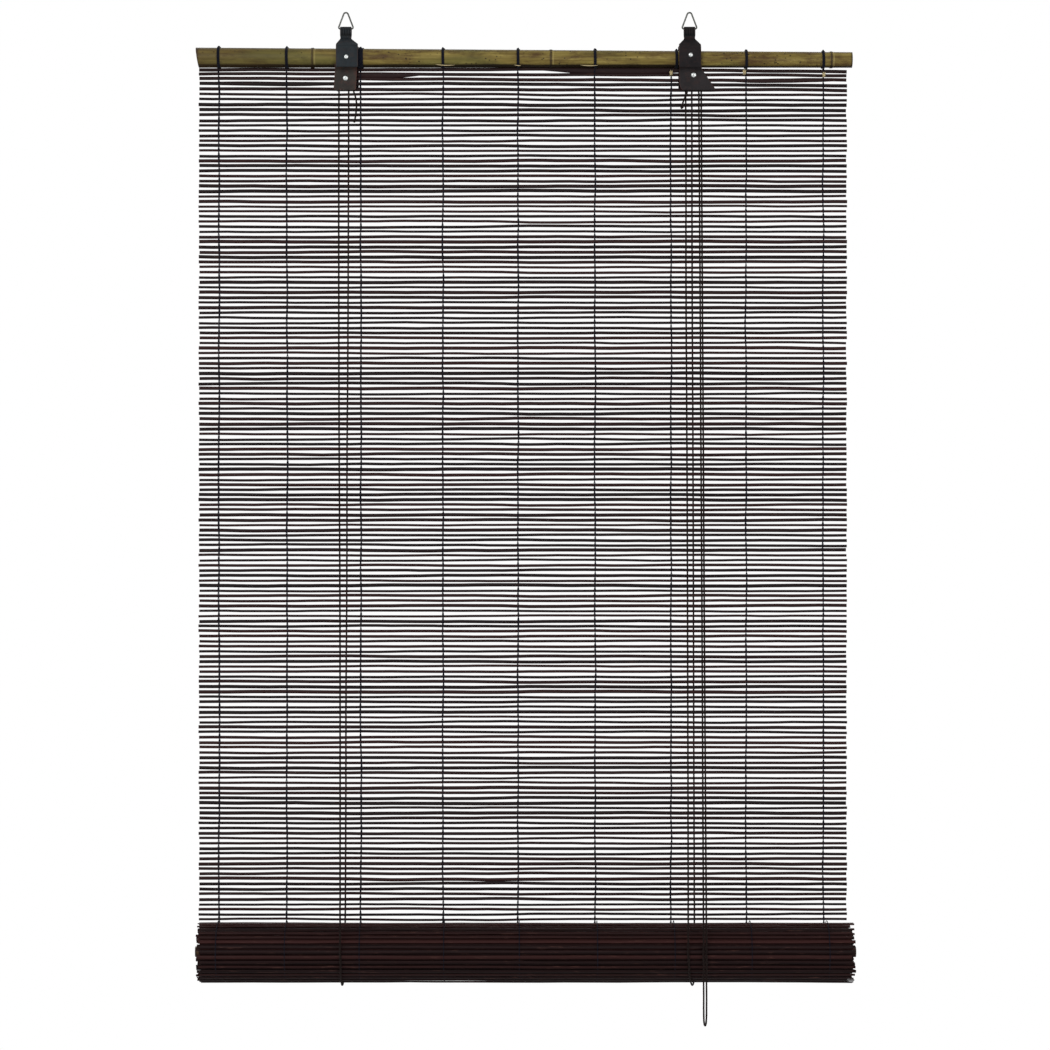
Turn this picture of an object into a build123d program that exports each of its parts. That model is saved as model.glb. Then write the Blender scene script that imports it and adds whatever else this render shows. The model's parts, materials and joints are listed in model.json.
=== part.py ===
from build123d import *
from math import asin, atan2, ceil, copysign, cos, degrees, hypot, pi, radians, sin, tan
import os

# Bamboo roll-up blind. A woven mat of thin reeds hangs from a bamboo head pole and is wound
# into a roll at its foot. Two leather straps hold the pole, hang from wire rings and lead the
# lift cords, which run down both sides of the mat and carry the roll in a sling.
# Millimetres. The origin is midway between the two ring eyes, where the hooks bear.
# +X is to the right, +Z is up, and the room is on the -Y side.

# Clearances
seat_gap = 0.1          # between pieces that touch on the real blind and do not move
run_gap = 0.3           # between pieces that pass one another
fold_gap = 0.1          # between the two layers of a strap at its neck

# Cord and thread
cord_dia = 1.8
thread_dia = 0.6
tie_thickness = 0.7     # wraps of warp thread round the pole
tie_width = 2.2

# Rings
eye_spacing = 317.8     # between the points where the two hooks bear
wire_dia = 1.5
ring_height = 16.4      # outside
ring_foot = 14.4        # between the two foot corners of the centre line, before they are rounded
ring_top_radius = 2.2   # of the wire's centre line
ring_foot_radius = 1.3

# Head pole: a bamboo culm that tapers to the right, level along its underside
pole_length = 606.8
pole_left = -297.6      # its left end
pole_underside = -50.2
pole_dia_left = 18.6
pole_dia_right = 14.4
pole_bore_share = 0.32  # bore of the hollow culm against its diameter
pole_wall_at_node = 5.0  # thickness of the diaphragm that closes the bore at each node
pole_node_shares = (0.178, 0.541, 0.968)   # of the pole's length from its left end
node_swell = 0.6
node_length = 4.0
pole_cut_angle = 8.5    # slant of the left end

# Reed mat
mat_width = 600.0
mat_left = -295.3
roll_shift = 2.6        # the roll is wound this much to the right of the mat above it
reed_pitch = 4.676
reed_count = 174
reed_width = 2.4
reed_front = 0.8        # rounded face of a split reed, in front of the mat's middle
reed_back = 0.7         # flat split face, behind it
valley_depth = 0.25     # the web between two reeds lies this far behind the mat's middle
gap_count = 120         # gaps that go right through
edge_band = 3.0         # the wall stays whole this far in from each end
hem_gap = 1.0           # from the last hanging reed down to the height of the roll's middle
thread_places = (-276.3, -213.4, -145.0, -69.1, 0.3, 71.5, 141.8, 211.2, 282.4)

# Roll
roll_radius = 28.8      # over the reeds of the outer turn
turn_pitch = 3.0        # from one turn to the next
rod_dia = 11.0          # bottom pole in the middle of the roll
rod_bore_share = 0.35
rod_overhang = 2.0      # past each end of the roll
inner_turn_step = 15.0  # degrees between the points of the inner face

# Leather straps and flaps
leather = 1.1
strap_width = 20.3
strap_neck = 10.2
neck_foot = -22.6       # height where the two layers part
shoulder_top = -24.2
shoulder_foot = -30.2
strap_front_foot = -51.1
left_body_shift = 1.6   # the left strap is cut off centre: its wide part lies this far right of its neck
flap_foot = -71.4
flap_corner = 1.6
flap_flare = (1.4, -1.0)  # how far the left flap's foot runs out past its top, at the left and right edge
skew_reach = 13.8       # how far the right flap's foot runs out past its top
skew_cut = (1.8, 5.5)   # width and height of the right flap's cut corner
flap_shifts = (0.3, 0.5)  # of each flap's middle from its strap's middle
leg_rise = 1.1          # a strap's legs bend in this many pole radii above the pole's axis
bend_radius = 2.0

# Rivets: shank, head, and places of the upper and lower rivet beside each ring
shank_dia = 2.4
upper_head_dia = 4.3
lower_head_dia = 5.1
head_dome = 1.0
upper_rivet_offsets = ((1.0, -42.0), (0.5, -40.1))    # (x from the strap's middle, z), left and right
lower_rivet_offsets = ((-0.1, -60.4), (3.6, -57.5))

# Cords
lane_foot = -76.0       # where the cords that belong to the head end, below the flaps
lane_bend = -52.4       # where they bend out to pass in front of the pole
lane_turn = -73.1       # where they turn towards the roll's front
rear_top = -62.0        # upper end of a lift cord behind the mat
sling_top = -845.0      # where a lift cord's straight run becomes the sling
sling_entry = 25.0      # degrees below the roll's middle where the cord meets it behind
left_front_offsets = (-6.3, -1.7)  # x from the strap's middle, at the flap and at the roll
left_rear_offsets = (2.5, -0.8)
right_front_offsets = (-3.7, -4.4)
right_rear_offsets = (2.3, 4.7)
inner_pull_offsets = (8.5, 9.5)
outer_pull_offsets = (10.7, 12.1)
turn_pull_offset = 7.4  # inner strand inside the strap
cross_pull_offset = 9.5  # outer strand inside the strap
tail_top = -56.4        # upper ends of the short tails, behind the flaps
pull_foot = -927.1      # lowest point of the loop
loop_top = -911.7
pull_stand_off = 0.5    # of the pull cord from the roll
lift_bend = 5.4         # radius of a cord's tight bends
lane_radius = 60.0      # of its slight turn towards the roll
drop_radius = 110.0     # of the pull cord where it passes the roll's front
sling_arcs = 3
tent_room = 0.9         # of the turn cord's arch below the bend of the strap's leg
cross_drop = 5.8        # the cross cord runs this far below the pole's axis
knot_dia = 3.4
arc_share = 0.97        # of the radius at which two arcs would touch, so that a short straight run stays

# Worked out from the sizes above
left_x, right_x = -eye_spacing / 2, eye_spacing / 2
upper_rivet_places = [(x + off, z) for x, (off, z) in zip((left_x, right_x), upper_rivet_offsets)]
lower_rivet_places = [(x + off, z) for x, (off, z) in zip((left_x, right_x), lower_rivet_offsets)]
left_front_x = [left_x + off for off in left_front_offsets]
left_rear_x = [left_x + off for off in left_rear_offsets]
right_front_x = [right_x + off for off in right_front_offsets]
right_rear_x = [right_x + off for off in right_rear_offsets]
inner_pull_x = [right_x + off for off in inner_pull_offsets]
outer_pull_x = [right_x + off for off in outer_pull_offsets]
turn_pull_x = right_x + turn_pull_offset
cross_pull_x = right_x + cross_pull_offset
pole_nodes = [pole_left + pole_length * share for share in pole_node_shares]
wire_r = wire_dia / 2
cord_r = cord_dia / 2
bar_z = wire_dia - ring_height + wire_r
mat_right = mat_left + mat_width
mat_top = pole_underside - tie_thickness - 2 * seat_gap
first_reed_z = mat_top - reed_width / 2
last_reed_z = first_reed_z - reed_pitch * (reed_count - 1)
front_of_mat = -(reed_front + seat_gap + thread_dia)
back_of_mat = reed_back + seat_gap + thread_dia
roll_y = front_of_mat - run_gap - roll_radius
roll_z = last_reed_z - reed_width / 2 - hem_gap
front_lane = front_of_mat - seat_gap - cord_r
rear_lane = back_of_mat + seat_gap + cord_r
pole_stand_off = tie_thickness + 2 * seat_gap + cord_r
leg_stand_off = pole_stand_off + cord_r + seat_gap + leather / 2


def pole_radius(x):
    """Radius of the head pole at x, between its nodes."""
    share = (x - pole_left) / pole_length
    return 0.5 * (pole_dia_left + share * (pole_dia_right - pole_dia_left))


def pole_axis(x):
    """Height of the head pole's axis at x: its underside is level."""
    return pole_underside + pole_radius(x)


def cord_tube(name, points, radii=()):
    """A cord: straight runs joined by arcs, one radius for each corner."""
    corners = [Vector(*p) for p in points]
    if radii:
        path = FilletPolyline(*corners, radius=list(radii))
    else:
        path = Wire([Edge.make_line(corners[0], corners[-1])])
    start = Plane(origin=path @ 0, z_dir=path % 0)
    tube = sweep(start * Circle(cord_r), path=path)
    expected = pi * cord_r**2 * path.length
    print(f"{name}: length {path.length:.1f}, radii {[round(r, 1) for r in radii]},"
          f" volume {tube.volume / expected:.4f} of section times length")
    return tube


def wide_radii(points, largest=1e9):
    """Arc radii for a loose cord: 0.45 of the shorter run beside each corner."""
    corners = [Vector(*p) for p in points]
    radii = []
    for before, here, after in zip(corners, corners[1:], corners[2:]):
        turn = radians((here - before).get_angle(after - here))
        shorter = min((here - before).length, (after - here).length)
        radii.append(min(largest, 0.45 * shorter / tan(turn / 2)))
    return radii


def across(x, pieces_y_z):
    """Points in an upright plane at x, from (y, z) pairs."""
    return [(x, y, z) for y, z in pieces_y_z]


def tangent_from(point, centre, radius, side):
    """Where a line from point touches a circle, in the YZ plane. side -1 is the room's side."""
    dy, dz = centre[0] - point[0], centre[1] - point[1]
    reach = hypot(dy, dz)
    line = (reach**2 - radius**2) ** 0.5
    heading = atan2(dz, dy) - side * copysign(asin(radius / reach), dz)
    return point[0] + line * cos(heading), point[1] + line * sin(heading)


def wire_ring(x):
    """A triangular ring of bent wire with its eye's top at the origin's height."""
    foot_half = ring_foot / 2
    arc_z = wire_r - ring_top_radius
    rise = arc_z - bar_z
    # the sides touch the top arc, and are drawn up to the point where they would meet
    slope = atan2(rise, foot_half) + asin(ring_top_radius / hypot(foot_half, rise))
    tip = bar_z + foot_half * tan(slope)
    corners = [(x, 0, bar_z), (x + foot_half, 0, bar_z), (x, 0, tip), (x - foot_half, 0, bar_z),
               (x - wire_r, 0, bar_z)]
    radii = [ring_foot_radius, ring_top_radius, ring_foot_radius]
    bent = FilletPolyline(*corners, radius=radii)
    path = Wire([*bent.edges(), Edge.make_line(bent @ 1, bent @ 0)])
    start = Plane(origin=(x, 0, bar_z), z_dir=(1, 0, 0))
    return sweep(start * Circle(wire_r), path=path)


def culm(length, dia_left, dia_right, nodes, bore_share, diaphragm):
    """A bamboo culm along +X from the origin: tapered, ringed at its nodes and hollow between."""
    def radius(x):
        return 0.5 * (dia_left + (dia_right - dia_left) * x / length)

    outline = [Edge.make_line((0, 0), (0, radius(0)))]
    here = (0, radius(0))
    for node in nodes:
        before = (node - node_length / 2, radius(node - node_length / 2))
        crest = (node, radius(node) + node_swell)
        after = (node + node_length / 2, radius(node + node_length / 2))
        outline.append(Edge.make_line(here, before))
        outline.append(Edge.make_three_point_arc(before, crest, after))
        here = after
    outline.append(Edge.make_line(here, (length, radius(length))))
    outline.append(Edge.make_line((length, radius(length)), (length, 0)))
    outline.append(Edge.make_line((length, 0), (0, 0)))
    solid = revolve(make_face(outline), axis=Axis.X)
    walls = [-diaphragm, *nodes, length + diaphragm]
    for left, right in zip(walls, walls[1:]):
        start, stop = left + diaphragm / 2, right - diaphragm / 2
        bore = bore_share * radius((start + stop) / 2)
        run = Cylinder(bore, stop - start, align=(Align.CENTER, Align.CENTER, Align.MIN))
        solid -= Plane(origin=(start, 0, 0), z_dir=(1, 0, 0)) * run
    return solid


def head_pole():
    """The head pole, with the holes that the upper rivets pass through."""
    nodes = [x - pole_left for x in pole_nodes]
    pole = culm(pole_length, pole_dia_left, pole_dia_right, nodes, pole_bore_share,
                pole_wall_at_node)
    droop = degrees(atan2((pole_dia_left - pole_dia_right) / 2, pole_length))
    pole = Pos(pole_left, 0, pole_axis(pole_left)) * Rot(0, droop, 0) * pole
    slant = Rot(0, -pole_cut_angle, 0) * Box(
        pole_dia_left, 2 * pole_dia_left, 3 * pole_dia_left, align=(Align.MAX, Align.CENTER, Align.CENTER))
    pole -= Pos(pole_left + tan(radians(pole_cut_angle)) * pole_dia_left / 2, 0, pole_axis(pole_left)) * slant
    for x, z in upper_rivet_places:
        pole -= through_hole(x, z)
    return pole


def through_hole(x, z):
    """A cutter for a rivet's hole, front to back."""
    return Pos(x, 0, z) * Rot(90, 0, 0) * Cylinder(shank_dia / 2 + seat_gap / 2, 4 * pole_dia_left)


def pole_ties():
    """Nine bands of thread wrapped round the pole, one above each warp thread."""
    bands = []
    for x in thread_places:
        on_node = any(abs(x - node) < (node_length + tie_width) / 2 for node in pole_nodes)
        inner = pole_radius(x) + seat_gap + (node_swell if on_node else 0)
        band = Circle(inner + tie_thickness) - Circle(inner)
        place = Plane(origin=(x - tie_width / 2, 0, pole_axis(x)), z_dir=(1, 0, 0))
        bands.append(extrude(place * band, tie_width))
    return Compound(children=bands)


def reed_mat():
    """The hanging part of the mat: one wall with a ridge for each reed and gaps between them."""
    half = reed_width / 2
    crest = reed_front
    points = []
    for i in range(reed_count):
        z = first_reed_z - i * reed_pitch
        points += [(-crest, z + half), (-crest, z - half)]
        if i < reed_count - 1:
            points.append((valley_depth, z - reed_pitch / 2))
    points += [(reed_back, last_reed_z - half), (reed_back, first_reed_z + half)]
    section = Plane(origin=(mat_left, 0, 0), x_dir=(0, 1, 0), z_dir=(1, 0, 0)) * Polygon(
        *points, align=None)
    wall = extrude(section, mat_width, dir=(1, 0, 0))
    spaces = reed_count - 1
    slot = Box(mat_width - 2 * edge_band, 3 * (reed_front + reed_back), reed_pitch - reed_width)
    slots = []
    for i in range(spaces):
        if (i * gap_count) % spaces < gap_count:
            z = first_reed_z - (i + 0.5) * reed_pitch
            slots.append(Pos((mat_left + mat_right) / 2, 0, z) * slot)
    wall -= slots
    for x, z in lower_rivet_places:
        wall -= through_hole(x, z)
    return wall


def warp_threads():
    """The nine threads that hold the reeds, in front of the mat and behind it."""
    length = mat_top - (last_reed_z - reed_width / 2)
    strand = extrude(RegularPolygon(thread_dia / 2, 6), -length)
    places = (-(reed_front + seat_gap + thread_dia / 2), reed_back + seat_gap + thread_dia / 2)
    return Compound(children=[Pos(x, y, mat_top) * strand for x in thread_places for y in places])


def reed_roll():
    """The rolled part of the mat: one wall wound in a spiral round the bottom pole."""
    middle = roll_radius - reed_front
    core = rod_dia / 2 + seat_gap + reed_back
    turns = (middle - core) / turn_pitch

    def radius(angle):
        return middle - turn_pitch * angle / (2 * pi)

    def point(angle, out):
        r = radius(angle) + out
        return roll_y + r * cos(angle), roll_z - r * sin(angle)

    outer = []
    angle = 0.0
    while angle < 2 * pi * turns:
        step = 1 / radius(angle)
        half = step * reed_width / 2
        outer += [point(angle - half, reed_front), point(angle + half, reed_front),
                  point(angle + step * reed_pitch / 2, -valley_depth)]
        last = angle
        angle += step * reed_pitch
    outer.pop()
    inner = []
    steps = ceil(degrees(last) / inner_turn_step)
    for i in range(steps, -1, -1):
        inner.append(point(last * i / steps, -reed_back))
    section = Plane(origin=(mat_left + roll_shift, 0, 0), x_dir=(0, 1, 0), z_dir=(1, 0, 0)) * Polygon(
        *outer, *inner, align=None)
    return extrude(section, mat_width, dir=(1, 0, 0))


def bottom_pole():
    """The thin bamboo pole that the mat's end is tied to."""
    length = mat_width + 2 * rod_overhang
    nodes = [length * share for share in (0.16, 0.5, 0.84)]
    rod = culm(length, rod_dia - 2 * node_swell, rod_dia - 2 * node_swell, nodes, rod_bore_share,
               pole_wall_at_node)
    return Pos(mat_left + roll_shift - rod_overhang, roll_y, roll_z) * rod


def leg_top(x):
    """Height where a strap's legs bend in towards the neck."""
    return pole_axis(x) + leg_rise * pole_radius(x)


def leg_y(x):
    """How far a strap's legs stand from the pole's axis."""
    return pole_radius(x) + leg_stand_off


def front_outline(x, shift):
    """A strap's outline from the front: narrow at the ring, wide from the shoulders down."""
    top = bar_z + wire_dia + 3 * leather
    foot = flap_foot - leather
    half, neck = strap_width / 2, strap_neck / 2
    left, right = x + shift - half, x + shift + half
    points = [(x - neck, top), (x - neck, shoulder_top), (left, shoulder_foot), (left, foot),
              (right, foot), (right, shoulder_foot), (x + neck, shoulder_top), (x + neck, top)]
    face = Plane.XZ * Polygon(*points, align=None)
    return extrude(face, 3 * pole_dia_left, both=True)


def leather_strip(x, width, path_points, radii):
    """A flat strip of leather that follows a path in the plane at x."""
    path = FilletPolyline(*[(x, y, z) for y, z in path_points], radius=radii)
    start = Plane(origin=path @ 0, x_dir=(1, 0, 0), z_dir=path % 0)
    return sweep(start * Rectangle(width, leather), path=path)


def strap(x, shift, rivets):
    """A strap folded over its ring: a short leg in front of the pole, a long one behind it."""
    loop = wire_r + seat_gap + leather / 2
    neck = (fold_gap + leather) / 2
    rear_foot = rear_lane + cord_r + seat_gap + leather / 2
    leg = leg_y(x)
    loop_foot = bar_z - wire_r - leather / 2
    rear_bend = pole_axis(x) - cross_drop - cord_dia
    path = [(rear_foot, flap_foot), (rear_foot, lane_bend - leather), (leg, rear_bend),
            (leg, leg_top(x)), (neck, neck_foot), (loop, loop_foot), (loop, bar_z + loop),
            (-loop, bar_z + loop), (-loop, loop_foot), (-neck, neck_foot), (-leg, leg_top(x)),
            (-leg, strap_front_foot)]
    fold = arc_share * loop
    radii = [bend_radius, bend_radius, bend_radius, 1.5 * bend_radius, bend_radius, fold,
             fold, bend_radius, 1.5 * bend_radius, bend_radius]
    strip = leather_strip(x, 2 * strap_width, path, radii)
    strip = strip & front_outline(x, shift)
    for place in rivets:
        strip -= through_hole(*place)
    return strip


def flap_path(x):
    """Where a flap runs, in front of the cords from its foot up behind the strap's front leg."""
    _, bend, corner = lane_to_pole(x)
    off = cord_r + seat_gap + leather / 2
    lean = atan2(bend[0] - corner[0], corner[1] - bend[1])
    low = (bend[0] - off, bend[1] - off * tan(lean / 2))
    # the end stops short of the inner face of the strap's front leg
    end = -(leg_y(x) - leather / 2) + seat_gap + leather / 2 * cos(lean)
    return [(low[0], flap_foot), low, (end, low[1] + (low[0] - end) / tan(lean))]


def flap(x, outline, rivet):
    """A leather flap that covers the cords below the pole, held by the lower rivet."""
    width = 4 * (strap_width + skew_reach)
    strip = leather_strip(x, width, flap_path(x), [lift_bend - cord_r - seat_gap - leather / 2])
    face = Plane.XZ * Polygon(*outline, align=None)
    face = fillet(face.vertices().sort_by(Axis.Z)[:2], flap_corner)
    prism = extrude(face, 3 * pole_dia_left, both=True)
    return (strip & prism) - through_hole(*rivet)


def left_flap():
    """The left flap, nearly square."""
    x = left_x + flap_shifts[0]
    half = strap_width / 2
    top = pole_axis(x)
    outline = [(x - half, top), (x - half, lane_bend), (x - half - flap_flare[0], flap_foot),
               (x + half + flap_flare[1], flap_foot), (x + half, top)]
    return flap(x, outline, lower_rivet_places[0])


def right_flap():
    """The right flap, cut on a skew so that its foot runs out to the right."""
    x = right_x + flap_shifts[1]
    left, right = x - strap_width / 2, x + strap_width / 2
    top = pole_axis(x)
    outline = [(left, top), (left, flap_foot + skew_cut[1]), (left + skew_cut[0], flap_foot),
               (right + skew_reach, flap_foot), (right, strap_front_foot), (right, top)]
    return flap(x, outline, lower_rivet_places[1])


def rivet(x, z, front, rear, head_dia):
    """A rivet from front to rear, with a domed head in front and a flat one behind."""
    head_r = head_dia / 2
    dome_r = (head_r**2 + head_dome**2) / (2 * head_dome)
    shank_r = shank_dia / 2
    profile = [
        Edge.make_line((0, front + head_dome), (0, rear - head_dome / 2)),
        Edge.make_line((0, rear - head_dome / 2), (head_r, rear - head_dome / 2)),
        Edge.make_line((head_r, rear - head_dome / 2), (head_r, rear)),
        Edge.make_line((head_r, rear), (shank_r, rear)),
        Edge.make_line((shank_r, rear), (shank_r, front)),
        Edge.make_line((shank_r, front), (head_r, front)),
        Edge.make_three_point_arc(
            (head_r, front),
            (head_r / 2, front + head_dome - dome_r + (dome_r**2 - head_r**2 / 4) ** 0.5),
            (0, front + head_dome)),
    ]
    solid = revolve(make_face(profile), axis=Axis.Y)
    # the profile has its head at +Y, and the head faces the room
    return Pos(x, 0, z) * Rot(0, 0, 180) * solid


def upper_rivets():
    """The rivets through the straps and the pole."""
    reach = leather / 2 + seat_gap / 2
    return Compound(children=[
        rivet(x, z, leg_y(side) + reach, -(leg_y(side) + reach), upper_head_dia)
        for (x, z), side in zip(upper_rivet_places, (left_x, right_x))])


def lower_rivets():
    """The rivets through the flaps, the mat and the rear legs."""
    reach = leather + 1.5 * seat_gap
    front = -(front_lane - cord_r) + reach
    rear = -(rear_lane + cord_r) - reach
    return Compound(children=[rivet(x, z, front, rear, lower_head_dia)
                              for x, z in lower_rivet_places])


def lane_to_pole(x):
    """The cord's way from the flap up to the pole's front, as (y, z) pairs."""
    reach = pole_radius(x) + pole_stand_off
    touch = tangent_from((front_lane, lane_bend), (0, pole_axis(x)), reach, -1)
    # the slanted run goes on until it is straight below the pole's front
    slope = (touch[1] - lane_bend) / (touch[0] - front_lane)
    return [(front_lane, lane_turn), (front_lane, lane_bend), (-reach, lane_bend + slope * (-reach - front_lane))]


def over_pole(x):
    """The cord's way from the flap up and over the pole, front to back."""
    reach = pole_radius(x) + pole_stand_off
    top = pole_axis(x) + reach
    return across(x, [*lane_to_pole(x), (-reach, top), (reach, top)])


def cross_cord():
    """The left lift cord's way over the pole, along behind it, back over it and down again."""
    left, right = left_front_x[0], cross_pull_x
    reach_l = pole_radius(left) + pole_stand_off
    reach_r = pole_radius(right) + pole_stand_off
    along = [(left, reach_l, pole_axis(left) - cross_drop),
             (right, reach_r, pole_axis(right) - cross_drop)]
    down = [*reversed(over_pole(right)[1:]), *front_run(outer_pull_x, pull_stand_off)[:2]]
    points = [front_run(left_front_x, run_gap)[1], *over_pole(left), *along, *down]
    wide_l, wide_r = arc_share * reach_l, arc_share * reach_r
    radii = [lane_radius, lift_bend, lift_bend, wide_l, wide_l, lift_bend,
             lift_bend, wide_r, wide_r, lift_bend, lift_bend, lane_radius]
    return cord_tube("cross_cord", points, radii)


def turn_cord():
    """The right lift cord's way over the upper rivet and down again as a pull strand."""
    up_x, down_x = right_front_x[0], turn_pull_x
    way = lane_to_pole(right_x)
    top = (way[-1][0], leg_top(right_x) - cord_r - tent_room)
    up = across(up_x, [*way, top])
    down = across(down_x, [top, *reversed(way[1:])])
    points = [front_run(right_front_x, run_gap)[1], *up, *down, *front_run(inner_pull_x, pull_stand_off)[:2]]
    arch = arc_share * (down_x - up_x) / 2
    radii = [lane_radius, lift_bend, lift_bend, arch, arch, lift_bend, lift_bend, lane_radius]
    return cord_tube("turn_cord", points, radii)


def roll_front(stand_off):
    """Where a cord from the flap touches the roll in front, as (y, z)."""
    radius = roll_radius + stand_off + cord_r
    return tangent_from((front_lane, lane_turn), (roll_y, roll_z), radius, -1)


def on_run(start, end, z):
    """The point at height z on the line from start to end."""
    share = (z - start[2]) / (end[2] - start[2])
    return tuple(a + share * (b - a) for a, b in zip(start, end))


def front_run(x_pair, stand_off):
    """A cord's line from its turn behind the flap to the roll's front: four points on it."""
    turn = (x_pair[0], front_lane, lane_turn)
    touch = (x_pair[1], *roll_front(stand_off))
    return turn, on_run(turn, touch, lane_foot), on_run(turn, touch, sling_top), touch


def front_lift_cord(name, x_pair):
    """The stretch of a lift cord in front of the mat."""
    return cord_tube(name, front_run(x_pair, run_gap)[1:3])


def rear_lift_cord(name, x_pair):
    """The stretch of a lift cord behind the mat."""
    return cord_tube(name, [(x_pair[0], rear_lane, rear_top), (x_pair[1], rear_lane, sling_top)])


def roll_sling(name, front_x, rear_x):
    """The part of a lift cord that goes under the roll and carries it."""
    radius = roll_radius + run_gap + cord_r
    turn, _, start, touch = front_run(front_x, run_gap)
    front_angle = degrees(asin((touch[2] - roll_z) / radius))
    step = (180 - sling_entry + front_angle) / sling_arcs
    out = radius / cos(radians(step / 2))
    corners = []
    for i in range(sling_arcs):
        angle = radians(-front_angle + (i + 0.5) * step)
        share = i / (sling_arcs - 1)
        x = front_x[1] + share * (rear_x[1] - front_x[1])
        corners.append((x, roll_y - out * cos(angle), roll_z - out * sin(angle)))
    # the first corner continues the straight run exactly, so that the two cords meet face to face
    corners[0] = on_run(turn, touch, corners[0][2])
    entry = radians(sling_entry)
    touch_y, touch_z = roll_y + radius * cos(entry), roll_z - radius * sin(entry)
    bend = (rear_x[1], rear_lane, touch_z + (rear_lane - touch_y) / tan(entry))
    top = (rear_x[1], rear_lane, sling_top)
    before_top = (rear_x[0], rear_lane, rear_top)
    bend = on_run(before_top, top, bend[2])
    points = [start, *corners, bend, top]
    radii = [arc_share * radius] * sling_arcs + [lift_bend]
    return cord_tube(name, points, radii)


def pull_run(name, x_pair):
    """A strand of the pull cord from the flap down to the roll's front."""
    return cord_tube(name, front_run(x_pair, pull_stand_off)[1:3])


def pull_front():
    """How far in front of the origin the pull cord hangs past the roll."""
    return roll_y - roll_radius - pull_stand_off - cord_r


def pull_drop(name, x_pair):
    """A strand of the pull cord in front of the roll, down to the loop."""
    turn, _, start, touch = front_run(x_pair, pull_stand_off)
    share = (pull_front() - turn[1]) / (touch[1] - turn[1])
    bend = (pull_drop_x(x_pair), pull_front(), turn[2] + share * (touch[2] - turn[2]))
    points = [start, bend, (bend[0], pull_front(), loop_top)]
    return cord_tube(name, points, wide_radii(points, drop_radius))


def pull_drop_x(x_pair):
    """Where a strand of the pull cord hangs straight down."""
    turn, _, _, touch = front_run(x_pair, pull_stand_off)
    share = (pull_front() - turn[1]) / (touch[1] - turn[1])
    return turn[0] + share * (touch[0] - turn[0])


def pull_loop():
    """The plain loop that ends the pull cord."""
    left, right = (pull_drop_x(pair) for pair in (inner_pull_x, outer_pull_x))
    foot = pull_foot + cord_r
    y = pull_front()
    points = [(left, y, loop_top), (left, y, foot), (right, y, foot), (right, y, loop_top)]
    radius = arc_share * (right - left) / 2
    return cord_tube("pull_cord_loop", points, [radius, radius])


left_tail_points = [(left_x + 5.9, front_lane, tail_top), (left_x + 6.4, front_lane, -70.5),
                    (left_x + 9.8, front_lane - 1.2, -79.5), (left_x + 10.3, front_lane - 1.6, -89.5),
                    (left_x + 8.5, front_lane - 1.2, -98.5)]
right_tail_points = [(right_x - 1.7, front_lane, tail_top), (right_x - 1.7, front_lane - 0.2, -69.0),
                     (right_x - 2.6, front_lane - 2.6, -75.0), (right_x - 5.9, front_lane - 3.2, -81.0),
                     (right_x - 7.0, front_lane - 2.6, -86.0)]


def tail(name, points):
    """A short end of cord that hangs from under a flap."""
    return cord_tube(name, points, wide_radii(points, 30.0))


def tail_knot(points):
    """The knot at the foot of a tail, seated on the cord's end."""
    end, before = Vector(*points[-1]), Vector(*points[-2])
    along = (end - before).normalized()
    seat = Plane(origin=end, z_dir=along)
    depth = (knot_dia**2 / 4 - cord_dia**2 / 3) ** 0.5
    ball = Pos(0, 0, depth) * Sphere(knot_dia / 2)
    keep = Box(2 * knot_dia, 2 * knot_dia, 2 * knot_dia, align=(Align.CENTER, Align.CENTER, Align.MIN))
    return seat * (ball & keep)


def all_pieces():
    """Every piece by its node's name."""
    return {
        "head_pole": head_pole(),
        "pole_ties": pole_ties(),
        "reed_mat": reed_mat(),
        "warp_threads": warp_threads(),
        "left_ring": wire_ring(left_x),
        "right_ring": wire_ring(right_x),
        "left_strap": strap(left_x, left_body_shift, [upper_rivet_places[0], lower_rivet_places[0]]),
        "right_strap": strap(right_x, 0, [upper_rivet_places[1], lower_rivet_places[1]]),
        "left_cord_flap": left_flap(),
        "right_cord_flap": right_flap(),
        "upper_rivets": upper_rivets(),
        "lower_rivets": lower_rivets(),
        "cross_cord": cross_cord(),
        "turn_cord": turn_cord(),
        "left_front_lift_cord": front_lift_cord("left_front_lift_cord", left_front_x),
        "left_rear_lift_cord": rear_lift_cord("left_rear_lift_cord", left_rear_x),
        "right_front_lift_cord": front_lift_cord("right_front_lift_cord", right_front_x),
        "right_rear_lift_cord": rear_lift_cord("right_rear_lift_cord", right_rear_x),
        "left_roll_sling": roll_sling("left_roll_sling", left_front_x, left_rear_x),
        "right_roll_sling": roll_sling("right_roll_sling", right_front_x, right_rear_x),
        "left_tail_cord": tail("left_tail_cord", left_tail_points),
        "right_tail_cord": tail("right_tail_cord", right_tail_points),
        "left_tail_knot": tail_knot(left_tail_points),
        "right_tail_knot": tail_knot(right_tail_points),
        "inner_pull_run": pull_run("inner_pull_run", inner_pull_x),
        "outer_pull_run": pull_run("outer_pull_run", outer_pull_x),
        "inner_pull_drop": pull_drop("inner_pull_drop", inner_pull_x),
        "outer_pull_drop": pull_drop("outer_pull_drop", outer_pull_x),
        "pull_cord_loop": pull_loop(),
        "reed_roll": reed_roll(),
        "bottom_pole": bottom_pole(),
    }


os.makedirs("parts", exist_ok=True)
for node, solid in all_pieces().items():
    export_step(solid, f"parts/{node}.step")
print(f"roll centre y {roll_y:.3f} z {roll_z:.3f}, ring bar z {bar_z:.3f}")
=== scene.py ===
"""Roll-up reed blind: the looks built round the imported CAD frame.

The sizes below repeat the CAD source's, in millimetres, and MM turns them to metres.
"""

import json
import logging
import math
from dataclasses import dataclass
from enum import Enum
from typing import Callable, Sequence

import bmesh
import bpy
from mathutils import Matrix, Vector

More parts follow.
